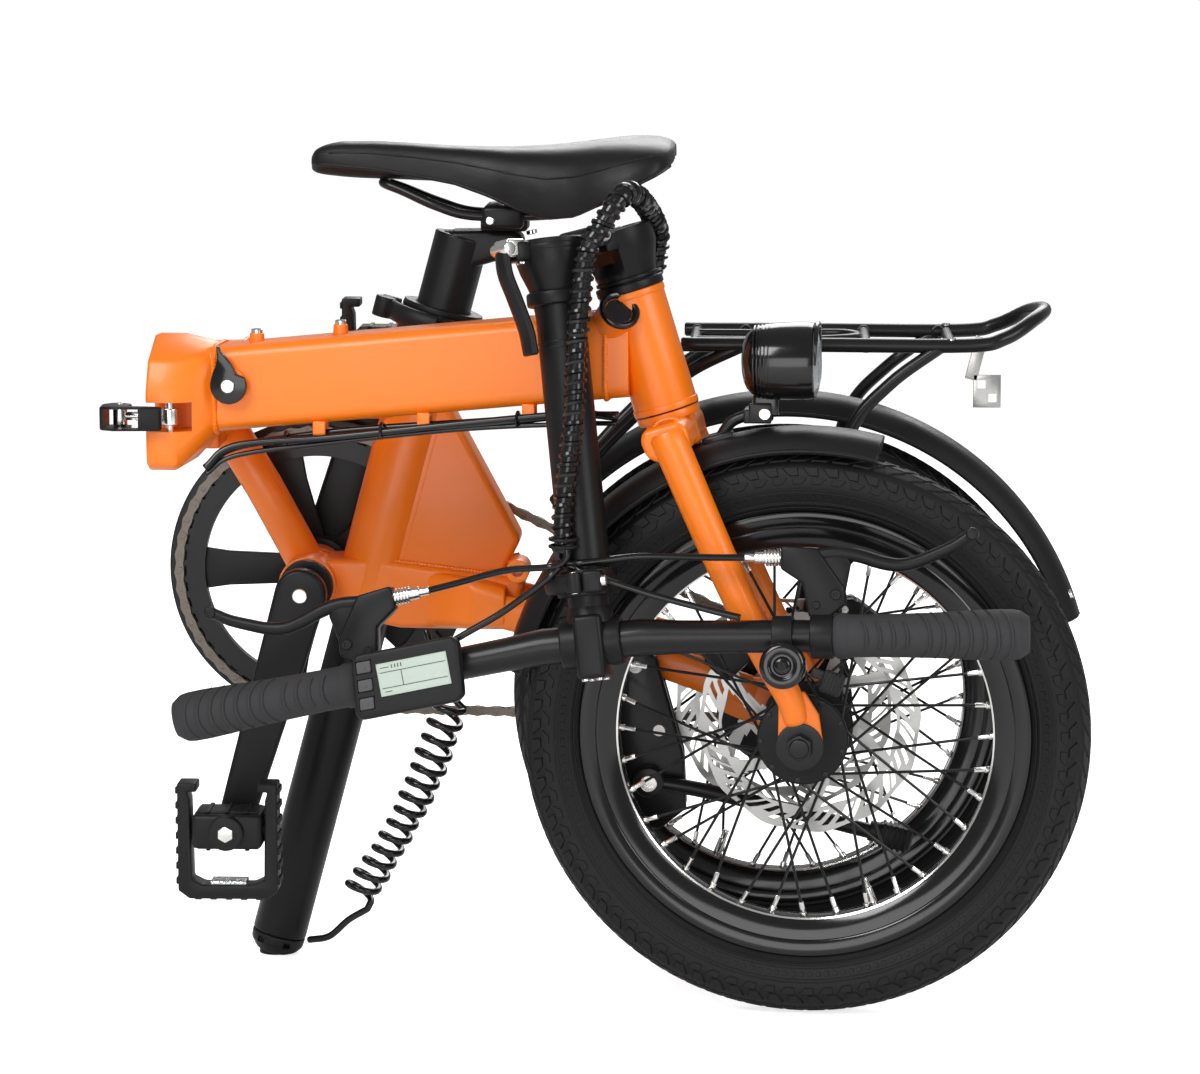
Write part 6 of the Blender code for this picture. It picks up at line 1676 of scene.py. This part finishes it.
def beside_post(t, toward, reach):
    """A point beside the folded post, t along it, on the side that faces toward (a world direction)."""
    local = POST.to_3x3().inverted() @ Vector(toward)
    local = (local - STEER_DIR * local.dot(STEER_DIR)).normalized()
    return world_mm(POST, on_steer(STEM_T + t) + local * reach)


def hoses():
    """Spiral-wrapped bundle over the handlepost hinge, and the hoses fanning out to the levers."""
    run = [beside_post(18, (0.62, -0.78, 0), 35), beside_post(70, (0.42, -0.9, 0), 26.5),
           beside_post(130, (0.1, -0.99, 0), 25.5), beside_post(190, (-0.4, -0.9, 0), 25.5),
           beside_post(214, (-0.5, -0.86, 0), 25)]
    stem = world_mm(FRONT, on_steer(STEM_T - 22))
    crest = Vector((-108, run[0].y + 17, 581))
    down = Vector((-91, stem.y + 22, 552))
    root = Vector((-93, stem.y + 31, 520))
    loop = [root, down, crest, Vector((-128, run[0].y + 3, 556)), run[0], run[1]]
    bundle = placed([bent(loop, 12, 6.3, 20), wrap(loop, 6.5, 7.0, 1.9)], "hose_loop", "cable_black")
    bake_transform(bundle)
    low = run[1:]
    lower = placed([bent(low, 12, 6.0, 20), wrap(low, 6.2, 7.0, 1.9)], "hose_bundle", "cable_black")
    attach(lower, "handlepost")
    gather = run[-1]
    riser, fans, split = [], {-1: [], 1: []}, 15
    for k, (s, sag) in enumerate(((-1, 10), (-1, 18), (1, 10), (1, 16))):
        end = world_mm(POST, bar_point(s * 104, 13, 13) if k % 2 else bar_point(s * 111, 54, -1))
        lift = Z * (8 - sag)
        way = smooth_path([gather + Z * 16 + Y * (k - 1.5), gather + Y * (k - 1.5) * 2 - Z * 8,
                           gather.lerp(end, 0.42) + lift, gather.lerp(end, 0.8) + lift * 0.4, end], 12)
        riser.append(tube(way[:split + 1], 2.4, 12))
        fans[s].append(tube(way[split:], 2.4, 12))
    neck = placed(riser, "hose_riser", "cable_black")
    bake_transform(neck)
    for s, word in ((-1, "left"), (1, "right")):
        fan = placed(fans[s], f"hose_fan_{word}", "cable_black")
        far = world_mm(POST, bar_point(s * 100, 34, 6))
        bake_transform(fan)
    tie = placed([tube([gather + Vector((9.0 * math.cos(a), 9.0 * math.sin(a), dz)) for a in turns(32)], 1.3,
                       8, loop=True) for dz in (3, 8)], "hose_ties", "black_plastic")
    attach(tie, "handlepost")


# ---------------------------------------------------------------- studio
LIT_POINT = Vector((0, 0, 0.3))
FLOOR_GLOW, SKY_LIT, SKY_SEEN = 0.74, 0.30, 1.0


def studio():
    """White floor and sky that are bright to the camera and soft on the object, with four lamps."""
    scene = bpy.context.scene
    scene.view_settings.view_transform = "Standard"
    bm = bmesh.new()
    bmesh.ops.create_grid(bm, x_segments=2, y_segments=2, size=400.0)
    floor = raw(bm, "floor")
    m = bpy.data.materials.new("floor_white")
    m.use_nodes = True
    b = next(n for n in m.node_tree.nodes if n.type == "BSDF_PRINCIPLED")
    b.inputs["Base Color"].default_value = (0.93, 0.93, 0.93, 1)
    b.inputs["Roughness"].default_value = 0.7
    seen = m.node_tree.nodes.new("ShaderNodeLightPath")
    glow = m.node_tree.nodes.new("ShaderNodeMath")
    glow.operation = "MULTIPLY"
    glow.inputs[1].default_value = FLOOR_GLOW
    m.node_tree.links.new(seen.outputs["Is Camera Ray"], glow.inputs[0])
    m.node_tree.links.new(glow.outputs[0], b.inputs["Emission Strength"])
    b.inputs["Emission Color"].default_value = (1, 1, 1, 1)
    floor.data.materials.append(m)
    floor.location.z = -0.0005
    world = bpy.data.worlds.new("studio")
    world.use_nodes = True
    bg = world.node_tree.nodes.get("Background") or world.node_tree.nodes.new("ShaderNodeBackground")
    bg.inputs[0].default_value = (1, 1, 1, 1)
    seen = world.node_tree.nodes.new("ShaderNodeLightPath")
    sky = world.node_tree.nodes.new("ShaderNodeMapRange")
    sky.inputs["To Min"].default_value = SKY_LIT
    sky.inputs["To Max"].default_value = SKY_SEEN
    world.node_tree.links.new(seen.outputs["Is Camera Ray"], sky.inputs["Value"])
    world.node_tree.links.new(sky.outputs["Result"], bg.inputs[1])
    scene.world = world

    def lamp(name, size, power, where):
        data = bpy.data.lights.new(name, "AREA")
        data.shape, data.size, data.energy = "SQUARE", size, power
        o = bpy.data.objects.new(name, data)
        scene.collection.objects.link(o)
        o.location = where
        o.rotation_euler = (LIT_POINT - o.location).to_track_quat("-Z", "Y").to_euler()
    lamp("key_light", 1.1, 44, (-1.2, -1.8, 2.0))
    lamp("fill_light", 1.2, 26, (1.9, -1.6, 1.4))
    lamp("front_light", 1.6, 26, (-0.4, -3.0, 0.45))
    lamp("back_light", 1.5, 40, (0.3, 1.9, 1.8))
    camera()


def camera(azimuth=2.5, elevation=8.5, distance=3.1, lens=126.4):
    az, el = math.radians(azimuth), math.radians(elevation)
    target = REAR @ Vector((-136.0, 0.0, 315.3))
    back = Vector((math.sin(az) * math.cos(el), -math.cos(az) * math.cos(el), math.sin(el)))
    data = bpy.data.cameras.new("camera")
    data.sensor_width, data.lens = 36.0, lens
    data.clip_end = 2000
    o = bpy.data.objects.new("camera", data)
    bpy.context.scene.collection.objects.link(o)
    o.location = target + back * distance
    o.rotation_euler = (-back).to_track_quat("-Z", "Y").to_euler()
    bpy.context.scene.camera = o


def build():
    make_finishes()
    for make in (rear_frame, hinge_pin, seat_clamp, rear_fender, rear_rack, chain, coil_cable, kickstand,
                 seatpost, saddle_rails, saddle, cranks):
        make()
    pedal(-1, "left")
    pedal(1, "right")
    wheel(0.0, "rear", 50, 27, 46, 38, -46.0, 14.5, 0.45)
    wheel(-WHEELBASE, "front", 32, 26, 17, 32, -36.0, 12.5, 0.1)
    axle_set(0.0, 64.0, 72.0, 13.5, "rear_axle", "rear_half")
    axle_set(-WHEELBASE, 52.5, 61.5, 16.6, "front_axle", "fork")
    caliper_set((50, -45, 260), math.radians(-38), -46.0, "rear_caliper", "rear_half", 40, 30, -57.2, -32.8)
    caliper_set((-846, -35.5, 252), math.radians(-46), -36.0, "front_caliper", "fork", 38, 28, -47.8, -23.2)
    for make in (front_frame, frame_latch, port_cover, cable_loom, fork, front_fender, headlight, stem_base,
                 handlepost, stem_latch, post_lever, inner_post, handlebar):
        make()
    for s, word in ((-1, "left"), (1, "right")):
        grip(s, word)
        brake_set(s, word)
    display()
    bell()
    hoses()
    studio()


build()
